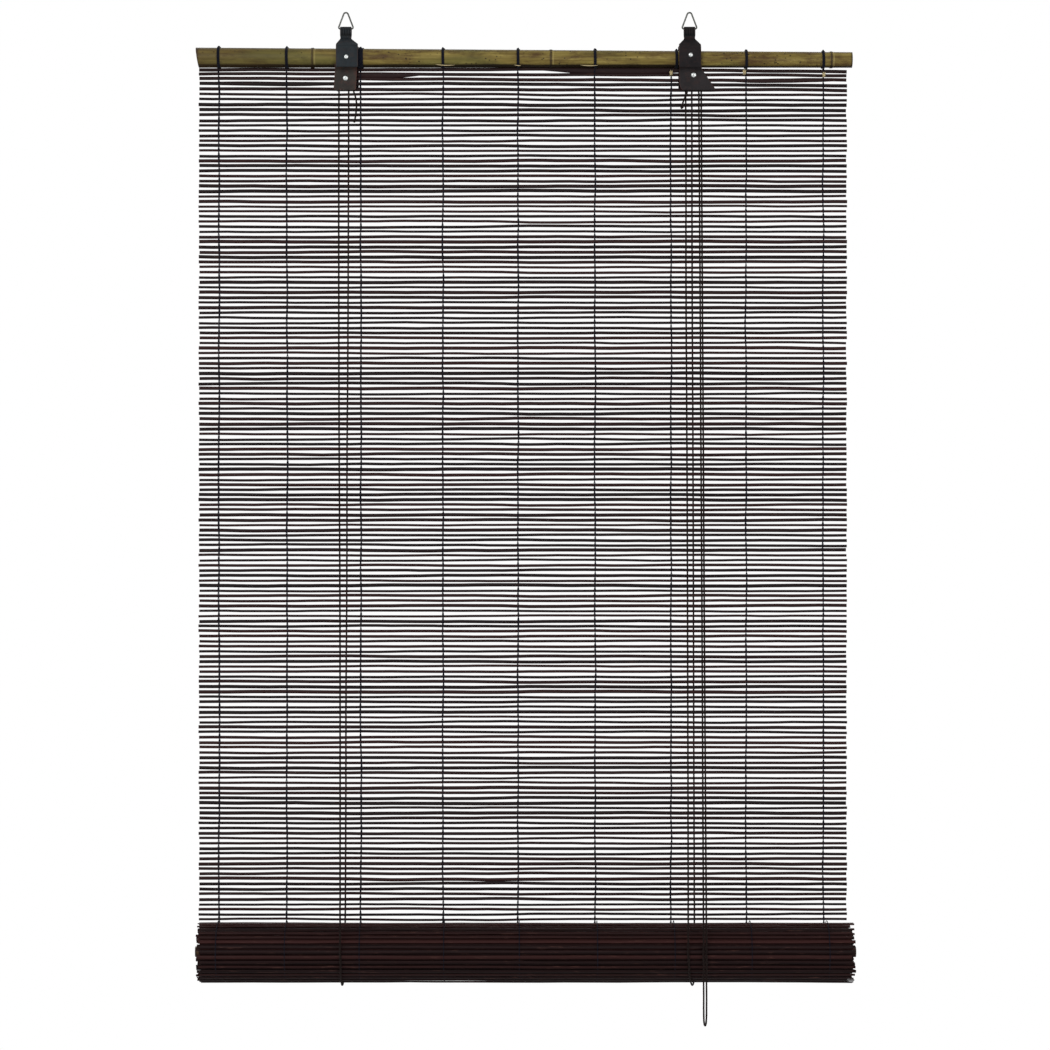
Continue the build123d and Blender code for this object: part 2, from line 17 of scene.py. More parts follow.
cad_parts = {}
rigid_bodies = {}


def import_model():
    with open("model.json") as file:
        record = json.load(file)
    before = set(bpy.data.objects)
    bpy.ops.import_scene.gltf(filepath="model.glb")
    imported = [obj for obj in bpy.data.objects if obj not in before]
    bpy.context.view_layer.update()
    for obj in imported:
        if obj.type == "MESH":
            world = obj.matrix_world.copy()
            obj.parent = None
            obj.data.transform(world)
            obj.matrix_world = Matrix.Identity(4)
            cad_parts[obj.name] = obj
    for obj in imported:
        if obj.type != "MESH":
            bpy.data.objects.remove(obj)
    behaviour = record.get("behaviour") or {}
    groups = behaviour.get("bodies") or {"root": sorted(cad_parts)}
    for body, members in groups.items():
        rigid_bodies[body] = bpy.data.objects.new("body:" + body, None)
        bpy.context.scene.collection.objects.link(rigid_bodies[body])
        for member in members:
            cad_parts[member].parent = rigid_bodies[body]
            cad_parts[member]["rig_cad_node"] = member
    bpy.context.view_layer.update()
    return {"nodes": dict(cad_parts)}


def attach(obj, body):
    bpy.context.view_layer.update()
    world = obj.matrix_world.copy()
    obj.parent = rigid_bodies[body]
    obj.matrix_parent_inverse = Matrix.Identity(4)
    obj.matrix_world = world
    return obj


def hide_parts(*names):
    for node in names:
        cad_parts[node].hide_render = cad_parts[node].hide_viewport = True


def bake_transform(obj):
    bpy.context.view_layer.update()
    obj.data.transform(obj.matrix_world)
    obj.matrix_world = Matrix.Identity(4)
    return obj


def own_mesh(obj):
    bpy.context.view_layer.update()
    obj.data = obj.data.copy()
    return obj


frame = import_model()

MM = 0.001
LOG = logging.getLogger("blind")
Point = tuple[float, float, float]


def linear(code: str) -> tuple[float, float, float, float]:
    """Turn an sRGB hex colour into the linear colour that shaders take.

    Args:
        code: six hex digits after a hash sign.

    Returns:
        Linear red, green, blue and an alpha of 1.
    """
    parts = [int(code[i:i + 2], 16) / 255 for i in (1, 3, 5)]
    return tuple(c / 12.92 if c <= 0.04045 else ((c + 0.055) / 1.055) ** 2.4 for c in parts) + (1.0,)


def ease(value: float, low: float, high: float) -> float:
    """Give 0 at low, 1 at high and a straight change between them; low may be the larger."""
    return min(max((value - low) / (high - low), 0.0), 1.0)


def add_node(tree: bpy.types.NodeTree, kind: str, links: dict | None = None, **settings: object) -> bpy.types.Node:
    """Add a node with its settings, its input values and its links.

    Args:
        tree: the node tree that gets the node.
        kind: the node's class name.
        links: input name or index to a value, or to the output socket that feeds it.
        settings: the node's own properties.

    Returns:
        The new node.
    """
    node = tree.nodes.new(kind)
    for name, value in settings.items():
        setattr(node, name, value)
    for key, value in (links or {}).items():
        socket = node.inputs[key]
        if isinstance(value, bpy.types.NodeSocket):
            tree.links.new(value, socket)
        else:
            socket.default_value = value
    return node


def mesh_object(name: str, mesh: bpy.types.ID) -> bpy.types.Object:
    """Put a mesh or a curve into the scene as an object at the origin."""
    piece = bpy.data.objects.new(name, mesh)
    bpy.context.scene.collection.objects.link(piece)
    return piece


def frozen_mesh(source: bpy.types.Object) -> bpy.types.Mesh:
    """Return an object's shape with its modifiers applied, as a mesh of its own."""
    bpy.context.view_layer.update()
    graph = bpy.context.evaluated_depsgraph_get()
    return bpy.data.meshes.new_from_object(source.evaluated_get(graph), depsgraph=graph)


def frames_along(line: Sequence[Vector]) -> list[tuple[Vector, Vector]]:
    """Give two directions square to a line at each of its points, with no sudden turn between points."""
    side = Vector((0.31, 0.95, 0.05))
    frames = []
    for i in range(len(line)):
        run = (line[min(i + 1, len(line) - 1)] - line[max(i - 1, 0)]).normalized()
        side = (side - run * side.dot(run)).normalized()
        frames.append((side, run.cross(side)))
    return frames


def add_tube(shape: bmesh.types.BMesh, line: Sequence[Vector], radii: Sequence[float], sides: int) -> None:
    """Add a closed tube round a line of points.

    Args:
        shape: the mesh that gets the tube.
        line: the points that the tube follows, in metres.
        radii: the tube's radius at each point, in metres.
        sides: how many faces go round.
    """
    rings = []
    for spot, radius, (a, b) in zip(line, radii, frames_along(line)):
        rings.append([shape.verts.new(spot + (a * math.cos(w) + b * math.sin(w)) * radius)
                      for w in (2 * math.pi * k / sides for k in range(sides))])
    for lower, upper in zip(rings, rings[1:]):
        for k in range(sides):
            shape.faces.new((lower[k], lower[(k + 1) % sides], upper[(k + 1) % sides], upper[k]))
    shape.faces.new(list(reversed(rings[0])))
    shape.faces.new(rings[-1])


def add_knot(shape: bmesh.types.BMesh, centre: Vector, size: float, thread: float, tilt: float) -> None:
    """Add an overhand knot pulled tight.

    Args:
        shape: the mesh that gets the knot.
        centre: the knot's middle, in metres.
        size: its breadth, in metres.
        thread: the thread's radius, in metres.
        tilt: its turn about the line of sight, in radians.
    """
    reach = (size / 2 - thread) / 3
    spin = Matrix.Rotation(tilt, 3, "Y")
    line = []
    for i in range(45):
        t = 0.15 + 6.0 * i / 44
        line.append(centre + spin @ Vector((math.sin(t) + 2 * math.sin(2 * t), -1.3 * math.sin(3 * t),
                                            math.cos(t) - 2 * math.cos(2 * t))) * reach)
    add_tube(shape, line, [thread] * len(line), 6)


def add_lathe(shape: bmesh.types.BMesh, profile: Sequence[tuple[float, float]], centre: Point, sides: int) -> None:
    """Turn a profile round an axis along Y.

    Args:
        shape: the mesh that gets the turned form.
        profile: (radius, y) pairs in metres, which start and end on the axis.
        centre: the point that the pairs count from.
        sides: how many faces go round.
    """
    rings = []
    for radius, y in profile:
        spots = [(0.0, 0.0)] if radius == 0 else [
            (radius * math.cos(w), radius * math.sin(w)) for w in (2 * math.pi * k / sides for k in range(sides))]
        rings.append([shape.verts.new((centre[0] + a, centre[1] + y, centre[2] + b)) for a, b in spots])
    for lower, upper in zip(rings, rings[1:]):
        for k in range(sides):
            corners = [lower[k % len(lower)], lower[(k + 1) % len(lower)],
                       upper[(k + 1) % len(upper)], upper[k % len(upper)]]
            shape.faces.new(list(dict.fromkeys(corners)))


def piece_from(shape: bmesh.types.BMesh, name: str, finish: "Finish") -> bpy.types.Object:
    """Turn a mesh that is ready into a smooth, dressed piece at the origin."""
    bmesh.ops.recalc_face_normals(shape, faces=shape.faces)
    mesh = bpy.data.meshes.new(name)
    shape.to_mesh(mesh)
    shape.free()
    for polygon in mesh.polygons:
        polygon.use_smooth = True
    piece = mesh_object(name, mesh)
    dress(piece, finish)
    return piece


class Body(Enum):
    """The moving bodies of the CAD frame."""

    HEAD = "head"
    SLING = "roll_sling"
    ROLL = "roll"
    LOOP = "pull_loop"


class Side(Enum):
    """The two hangers, seen from the room."""

    LEFT = "left"
    RIGHT = "right"


@dataclass(frozen=True)
class Finish:
    """A procedural material: its colours, its roughness and the record's slot it stands for."""

    name: str
    slot: str
    dark: str
    pale: str
    roughness: float
    shine: float = 0.5

    def start(self) -> tuple[bpy.types.Material, bpy.types.NodeTree, bpy.types.Node]:
        """Make the material with its shader.

        Returns:
            The material, its node tree and its principled shader.
        """
        material = bpy.data.materials.new(self.name)
        material.use_nodes = True
        tree = material.node_tree
        tree.nodes.clear()
        shader = add_node(tree, "ShaderNodeBsdfPrincipled",
                          {"Roughness": self.roughness, "Specular IOR Level": self.shine})
        add_node(tree, "ShaderNodeOutputMaterial", {"Surface": shader.outputs["BSDF"]})
        return material, tree, shader

    def place(self, tree: bpy.types.NodeTree, scale: Point) -> bpy.types.NodeSocket:
        """Give object coordinates stretched by scale."""
        coordinates = add_node(tree, "ShaderNodeTexCoord")
        return add_node(tree, "ShaderNodeMapping",
                        {"Vector": coordinates.outputs["Object"], "Scale": scale}).outputs["Vector"]

    def noise(self, tree: bpy.types.NodeTree, scale: Point, detail: float = 4.0,
              roughness: float = 0.55) -> bpy.types.NodeSocket:
        """Give a noise value whose cells are 1/scale metres on each axis."""
        return add_node(tree, "ShaderNodeTexNoise", {"Vector": self.place(tree, scale), "Scale": 1.0,
                                                     "Detail": detail, "Roughness": roughness}).outputs["Fac"]

    def ramp(self, tree: bpy.types.NodeTree, factor: bpy.types.NodeSocket,
             stops: Sequence[tuple[float, str]]) -> bpy.types.NodeSocket:
        """Turn a factor into a colour through stops of (place, hex colour)."""
        node = add_node(tree, "ShaderNodeValToRGB", {"Fac": factor})
        elements = node.color_ramp.elements
        while len(elements) < len(stops):
            elements.new(0.5)
        for element, (at, code) in zip(elements, stops):
            element.position = at
            element.color = linear(code)
        return node.outputs["Color"]

    def spread(self, tree: bpy.types.NodeTree, value: bpy.types.NodeSocket, low: float, high: float,
               to_low: float = 0.0, to_high: float = 1.0) -> bpy.types.NodeSocket:
        """Stretch a value from low..high to to_low..to_high, and hold it there."""
        return add_node(tree, "ShaderNodeMapRange",
                        {"Value": value, "From Min": low, "From Max": high,
                         "To Min": to_low, "To Max": to_high}).outputs["Result"]

    def math(self, tree: bpy.types.NodeTree, operation: str, *values: object) -> bpy.types.NodeSocket:
        """Combine up to three numbers."""
        return add_node(tree, "ShaderNodeMath", dict(enumerate(values)), operation=operation).outputs[0]

    def mix(self, tree: bpy.types.NodeTree, factor: bpy.types.NodeSocket | float, a: object, b: object
            ) -> bpy.types.NodeSocket:
        """Mix two colours, each a socket or a hex colour."""
        node = add_node(tree, "ShaderNodeMix", data_type="RGBA")
        for index, value in ((0, factor), (6, a), (7, b)):
            if isinstance(value, bpy.types.NodeSocket):
                tree.links.new(value, node.inputs[index])
            else:
                node.inputs[index].default_value = linear(value) if isinstance(value, str) else value
        return node.outputs[2]

    def relief(self, tree: bpy.types.NodeTree, shader: bpy.types.Node, height: bpy.types.NodeSocket,
               depth: float, strength: float = 1.0) -> None:
        """Give the shader a bump of that depth in metres."""
        bump = add_node(tree, "ShaderNodeBump", {"Height": height, "Distance": depth, "Strength": strength})
        tree.links.new(bump.outputs["Normal"], shader.inputs["Normal"])


@dataclass(frozen=True)
class RawCulm(Finish):
    """Natural bamboo culm, cut and dried: a hard waxy skin, olive to straw, with stains and black specks.

    To the eye: long soft streaks along the culm, mottled brown stains, painted shade along its underside,
    a darker band along its top, a dark ring with a pale crescent at each node, and near-black cut ends.
    """

    nodes: tuple[float, ...] = ()
    ends: tuple[float, float] = (0.0, 1.0)
    # the culm's radius at x = 0, its change along x, and its axis' height above -radius
    taper: tuple[float, float, float] | None = None

    def near(self, tree: bpy.types.NodeTree, along: bpy.types.NodeSocket, at: float, inner: float,
             outer: float, most: float) -> bpy.types.NodeSocket:
        """Give most near a place on the culm, and 0 from outer metres away."""
        away = self.math(tree, "ABSOLUTE", self.math(tree, "SUBTRACT", along, at))
        return self.spread(tree, away, inner, outer, most, 0)

    def make(self) -> bpy.types.Material:
        """Build the material."""
        material, tree, shader = self.start()
        streaks = self.noise(tree, (18, 420, 420), 5)
        colour = self.ramp(tree, streaks, ((0.3, self.dark), (0.52, self.pale), (0.74, "#94834a")))
        stains = self.spread(tree, self.noise(tree, (34, 110, 110), 7, 0.7), 0.46, 0.64, 0, 0.85)
        colour = self.mix(tree, stains, colour, "#402a17")
        olive = self.spread(tree, self.noise(tree, (9, 30, 30), 2), 0.46, 0.62, 0, 0.55)
        colour = self.mix(tree, olive, colour, "#5b5c2e")
        specks = add_node(tree, "ShaderNodeTexVoronoi", {"Vector": self.place(tree, (240, 300, 300)), "Scale": 1.0})
        patches = self.spread(tree, self.noise(tree, (34, 60, 60), 2), 0.43, 0.52)
        dots = self.spread(tree, specks.outputs["Distance"], 0.12, 0.24, 1, 0)
        colour = self.mix(tree, self.math(tree, "MULTIPLY", dots, patches), colour, "#1f160d")
        spot = add_node(tree, "ShaderNodeSeparateXYZ", {0: self.place(tree, (1, 1, 1))})
        for at in self.nodes:
            colour = self.mix(tree, self.near(tree, spot.outputs["X"], at, 0.0004, 0.0014, 0.85), colour, "#2a1e11")
            colour = self.mix(tree, self.near(tree, spot.outputs["X"], at + 0.0021, 0.0002, 0.0011, 0.4), colour,
                              "#a8975f")
        for at in self.ends:
            colour = self.mix(tree, self.near(tree, spot.outputs["X"], at, 0.0006, 0.0022, 0.85), colour, "#2a1d12")
        if self.taper:
            middle, change, floor = self.taper
            radius = self.math(tree, "MULTIPLY_ADD", spot.outputs["X"], change, middle)
            height = self.math(tree, "SUBTRACT", self.math(tree, "SUBTRACT", spot.outputs["Z"], floor), radius)
            up = self.math(tree, "DIVIDE", height, radius)
            # painted shade under the culm, where it shades itself; the same mask darkens a thin top band
            share = self.math(tree, "MAXIMUM", self.math(tree, "MULTIPLY", up, -1.0),
                              self.math(tree, "SUBTRACT", up, 0.16))
            # the underside's painted shade is darkest above the mat, and lighter on the right
            share = self.math(tree, "SUBTRACT", share, self.spread(tree, spot.outputs["X"], 0.14, 0.17, 0, 0.1))
            underside_shade_top_band = self.spread(tree, self.math(tree, "MULTIPLY_ADD", streaks, 0.4, share), 0.86, 1.0, 0, 0.95)
            colour = self.mix(tree, underside_shade_top_band, colour, "#150e0a")
            # handling has darkened the left end
            worn = self.spread(tree, spot.outputs["X"], -0.3, -0.14, 0.55, 0)
            colour = self.mix(tree, worn, colour, "#3a2a17")
        tree.links.new(colour, shader.inputs["Base Color"])
        tree.links.new(self.spread(tree, streaks, 0.3, 0.7, self.roughness - 0.08, self.roughness + 0.12),
                       shader.inputs["Roughness"])
        self.relief(tree, shader, streaks, 0.0003, 0.5)
        return material


@dataclass(frozen=True)
class StainedReed(Finish):
    """Split reed, dyed and dried: dark brown skin that varies from reed to reed, with long fibres.

    To the eye: near-black in shade and red-brown where the light catches it, duller along worn edges.
    """

    warm: str = "#5a332b"
    worn: str = "#6b4c3e"
    worn_share: float = 0.4

    def make(self) -> bpy.types.Material:
        """Build the material."""
        material, tree, shader = self.start()
        reed = add_node(tree, "ShaderNodeAttribute", attribute_name="reed").outputs["Fac"]
        fibres = self.noise(tree, (14, 900, 900), 4)
        body = self.ramp(tree, fibres, ((0.25, self.dark), (0.75, self.pale)))
        colour = self.mix(tree, self.spread(tree, reed, 0.4, 1.0, 0.0, 0.9), body, self.warm)
        worn = self.spread(tree, self.noise(tree, (60, 420, 420), 6, 0.7), 0.58, 0.74, 0, self.worn_share)
        colour = self.mix(tree, worn, colour, self.worn)
        tree.links.new(colour, shader.inputs["Base Color"])
        tree.links.new(self.spread(tree, fibres, 0.3, 0.7, self.roughness - 0.06, self.roughness + 0.1),
                       shader.inputs["Roughness"])
        self.relief(tree, shader, fibres, 0.00025, 0.6)
        return material


@dataclass(frozen=True)
class SpunThread(Finish):
    """Spun cotton or raffia: matt and slightly hairy. Its twist is drawn by the strands' shape.

    To the eye: no highlight, only a faint pale bloom along the edges.
    """

    bloom: float = 0.12

    def make(self) -> bpy.types.Material:
        """Build the material."""
        material, tree, shader = self.start()
        fibres = self.noise(tree, (2200, 2200, 1500), 3)
        tree.links.new(self.ramp(tree, fibres, ((0.3, self.dark), (0.7, self.pale))), shader.inputs["Base Color"])
        shader.inputs["Sheen Weight"].default_value = self.bloom
        shader.inputs["Sheen Roughness"].default_value = 0.5
        self.relief(tree, shader, fibres, 0.0001, 0.5)
        return material


@dataclass(frozen=True)
class DyedLeather(Finish):
    """Cowhide, dyed through and cut: a fine pebbled grain with creases, and browner rubbed places.

    To the eye: a soft broad sheen, brown where the dye has worn, and painted shade, near-black, in the neck.
    """

    rubbed: str = "#4c3a2f"
    rubbed_share: float = 0.35

    def make(self) -> bpy.types.Material:
        """Build the material."""
        material, tree, shader = self.start()
        # real pebbles are 0.3 mm: they are drawn at 0.8 mm so that they show
        grain = add_node(tree, "ShaderNodeTexVoronoi", {"Vector": self.place(tree, (1250, 1250, 1250)), "Scale": 1.0},
                         feature="SMOOTH_F1").outputs["Distance"]
        cloud = self.noise(tree, (110, 110, 110), 5, 0.6)
        colour = self.ramp(tree, cloud, ((0.3, self.dark), (0.7, self.pale)))
        rub = self.spread(tree, self.noise(tree, (170, 170, 210), 5, 0.7), 0.5, 0.72, 0, self.rubbed_share)
        colour = self.mix(tree, rub, colour, self.rubbed)
        edge = add_node(tree, "ShaderNodeAttribute", attribute_name="edge").outputs["Fac"]
        colour = self.mix(tree, self.math(tree, "MULTIPLY", edge, 0.8), colour, self.rubbed)
        # painted shade: the neck's hollows between its ribs and its fold band are darkened to near-black
        painted_shade = add_node(tree, "ShaderNodeAttribute", attribute_name="painted_shade").outputs["Fac"]
        colour = self.mix(tree, painted_shade, colour, "#06080a")
        tree.links.new(colour, shader.inputs["Base Color"])
        tree.links.new(self.spread(tree, cloud, 0.3, 0.7, self.roughness - 0.08, self.roughness + 0.1),
                       shader.inputs["Roughness"])
        creases = self.noise(tree, (420, 420, 160), 3)
        self.relief(tree, shader, self.math(tree, "MULTIPLY_ADD", grain, 0.5, creases), 0.0002, 0.7)
        return material


@dataclass(frozen=True)
class PlatedSteel(Finish):
    """Steel with a thin nickel plate: a cool grey metal with faint drawing marks and dull spots.

    To the eye: soft stretched highlights that break up in small dull patches.
    """

    def make(self) -> bpy.types.Material:
        """Build the material."""
        material, tree, shader = self.start()
        spots = self.noise(tree, (900, 900, 900), 4)
        tree.links.new(self.ramp(tree, spots, ((0.3, self.dark), (0.6, self.pale))), shader.inputs["Base Color"])
        shader.inputs["Metallic"].default_value = 1.0
        tree.links.new(self.spread(tree, spots, 0.3, 0.7, self.roughness + 0.12, self.roughness - 0.04),
                       shader.inputs["Roughness"])
        self.relief(tree, shader, spots, 0.00005, 0.3)
        return material


POLE_LEFT, POLE_LENGTH, POLE_UNDERSIDE, POLE_THICK, POLE_THIN = -297.6, 606.8, -50.2, 18.6, 14.4
POLE_NODES = tuple((POLE_LEFT + POLE_LENGTH * share) * MM for share in (0.178, 0.541, 0.968))
POLE_CHANGE = 0.5 * (POLE_THIN - POLE_THICK) / POLE_LENGTH
POLE_TAPER = ((POLE_THICK / 2 - POLE_LEFT * POLE_CHANGE) * MM, POLE_CHANGE, POLE_UNDERSIDE * MM)

HEAD_CULM = RawCulm("raw_bamboo_culm", "pole_bamboo", "#56461e", "#776733", 0.45, 0.15,
                    POLE_NODES, (-0.2962, 0.3092), POLE_TAPER)
ROD_CULM = RawCulm("stained_bamboo_rod", "rod_bamboo", "#2c1b14", "#4a3022", 0.5, 0.2, (), (-0.2947, 0.3093))
# the hanging mat's reeds are a darker copy of the rolled reeds' finish: painted shade on the mat hanging against the
# light
SHADED_MAT_REED = StainedReed("dyed_split_reed_shaded", "reeds", "#0b0607", "#1b0f10", 0.5, 0.1, "#2c1716", "#4c332a")
ROLL_REED = StainedReed("dyed_rolled_reed", "rolled_reeds", "#0d0505", "#200f0f", 0.5, 0.08, "#331917", "#5f4038",
                        0.5)
WARP = SpunThread("spun_cotton_thread", "warp_thread", "#08090f", "#161826", 0.88, 0.08, 0.04)
CORD = SpunThread("twisted_cotton_cord", "cord", "#0d0706", "#1e1310", 0.85, 0.08, 0.05)
STRAW = SpunThread("straw_fibre", "reeds", "#a8946a", "#cdbd92", 0.7, 0.3)
STRAP_HIDES = {
    Side.LEFT: DyedLeather("dyed_strap_leather", "strap_leather", "#11161a", "#252b2f", 0.5, 0.1, "#392a26", 0.4),
    Side.RIGHT: DyedLeather("worn_strap_leather", "strap_leather", "#0f0e10", "#201c1d", 0.5, 0.07, "#33221f", 0.5)}
FLAP_HIDES = {
    Side.LEFT: DyedLeather("dyed_flap_leather", "flap_leather", "#1d1a1a", "#36312d", 0.52, 0.1, "#50302a", 0.55),
    Side.RIGHT: DyedLeather("worn_flap_leather", "flap_leather", "#181617", "#2b2728", 0.52, 0.09, "#3f2b27", 0.45)}
RING_STEEL = PlatedSteel("drawn_ring_wire", "ring_wire", "#2e302e", "#5c5e5a", 0.4)
RIVET_NICKEL = PlatedSteel("nickel_plated_rivet", "rivet_metal", "#8f9291", "#b9bcbb", 0.3)


def dress(piece: bpy.types.Object, finish: Finish) -> None:
    """Give a piece or a CAD node one finish."""
    piece.data.materials.clear()
    piece.data.materials.append(material_of(finish))


def material_of(finish: Finish) -> bpy.types.Material:
    """Give a finish's material, made once."""
    return bpy.data.materials.get(finish.name) or finish.make()


class RepeatTree:
    """A geometry node tree with named inputs, run on an object and then frozen into a plain mesh."""

    def __init__(self, name: str) -> None:
        """Start a tree with one geometry input and one output."""
        self.tree = bpy.data.node_groups.new(name, "GeometryNodeTree")
        self.tree.interface.new_socket("Geometry", in_out="INPUT", socket_type="NodeSocketGeometry")
        self.tree.interface.new_socket("Geometry", in_out="OUTPUT", socket_type="NodeSocketGeometry")
        self.keys: dict[str, str] = {}
        self.entry = self.tree.nodes.new("NodeGroupInput")
        self.exit = self.tree.nodes.new("NodeGroupOutput")

    def size(self, name: str, kind: str = "Float") -> bpy.types.NodeSocket:
        """Add a named input and give the socket that carries it."""
        item = self.tree.interface.new_socket(name, in_out="INPUT", socket_type=f"NodeSocket{kind}")
        self.keys[name] = item.identifier
        return self.entry.outputs[name]

    def add(self, kind: str, links: dict | None = None, **settings: object) -> bpy.types.Node:
        """Add a geometry or function node."""
        return add_node(self.tree, kind, links, **settings)

    def math(self, operation: str, *values: object) -> bpy.types.NodeSocket:
        """Combine up to three numbers."""
        return self.add("ShaderNodeMath", dict(enumerate(values)), operation=operation).outputs[0]

    def vector(self, x: object = 0.0, y: object = 0.0, z: object = 0.0) -> bpy.types.NodeSocket:
        """Join three numbers into a vector."""
        return self.add("ShaderNodeCombineXYZ", {"X": x, "Y": y, "Z": z}).outputs[0]

    def random(self, low: float, high: float, which: bpy.types.NodeSocket, seed: int) -> bpy.types.NodeSocket:
        """Give a random number between low and high for each value of which."""
        return self.add("FunctionNodeRandomValue", {"Min": low, "Max": high, "ID": which, "Seed": seed},
                        data_type="FLOAT").outputs["Value"]

    def read(self, name: str) -> bpy.types.NodeSocket:
        """Read a named number from the points."""
        return self.add("GeometryNodeInputNamedAttribute", {"Name": name}, data_type="FLOAT").outputs["Attribute"]

    def store(self, geometry: bpy.types.NodeSocket, name: str, value: object) -> bpy.types.NodeSocket:
        """Store a named number on the points."""
        return self.add("GeometryNodeStoreNamedAttribute", {"Geometry": geometry, "Name": name, "Value": value},
                        data_type="FLOAT", domain="POINT").outputs["Geometry"]

    def settle(self, along: bpy.types.NodeSocket, height: bpy.types.NodeSocket) -> bpy.types.NodeSocket:
        """Give how far the mat's top stands above its even rows: higher on the left, lower on the right."""
        rise, sag, top, half = (self.size(name) for name in ("Left rise", "Right sag", "Settled from", "Half length"))
        depth, share = self.math("SUBTRACT", top, height), self.math("DIVIDE", along, half)
        parts = []
        # for each: its depth of full effect, its depth of none, and how it changes along the reed
        for amount, full, none, slope, start in ((rise, 0.014, 0.06, -0.5, 0.5), (sag, 0.0005, 0.008, 1.67, -0.67)):
            grow = self.math("MINIMUM", self.math("DIVIDE", depth, full), 1.0)
            fade = self.math("MAXIMUM", self.math("SUBTRACT", 1.0, self.math("DIVIDE", depth, none)), 0.0)
            place = self.math("MAXIMUM", self.math("MULTIPLY_ADD", share, slope, start), 0.0)
            parts.append(self.math("MULTIPLY", self.math("MULTIPLY", self.math("MULTIPLY", grow, fade), place), amount))
        return self.math("SUBTRACT", *parts)

    def end(self, geometry: bpy.types.NodeSocket, surface: bpy.types.NodeSocket) -> None:
        """Smooth the result, give it its material and send it out."""
        smooth = self.add("GeometryNodeSetShadeSmooth", {"Geometry": geometry}).outputs["Geometry"]
        whole = self.add("GeometryNodeRealizeInstances", {"Geometry": smooth}).outputs["Geometry"]
        done = self.add("GeometryNodeSetMaterial", {"Geometry": whole, "Material": surface}).outputs["Geometry"]
        self.tree.links.new(done, self.exit.inputs["Geometry"])

    def run(self, name: str, points: Sequence[Point], values: dict[str, object],
            extra: dict[str, Sequence[float]] | None = None) -> bpy.types.Object:
        """Run the tree on a few points and freeze the result.

        Args:
            name: the new piece's name.
            points: where the repeats start, in metres.
            values: the value of each named input.
            extra: named point attributes that the tree reads.

        Returns:
            A plain mesh object at the origin.
        """
        seed_mesh = bpy.data.meshes.new(name + "_points")
        seed_mesh.from_pydata(points, [], [])
        for key, numbers in (extra or {}).items():
            seed_mesh.attributes.new(key, "FLOAT", "POINT").data.foreach_set("value", list(numbers))
        carrier = mesh_object(name + "_carrier", seed_mesh)
        modifier = carrier.modifiers.new("repeat", "NODES")
        modifier.node_group = self.tree
        for key, value in values.items():
            modifier[self.keys[key]] = value
        mesh = frozen_mesh(carrier)
        mesh.name = name
        carrier.modifiers.remove(modifier)
        bpy.data.objects.remove(carrier)
        return mesh_object(name, mesh)


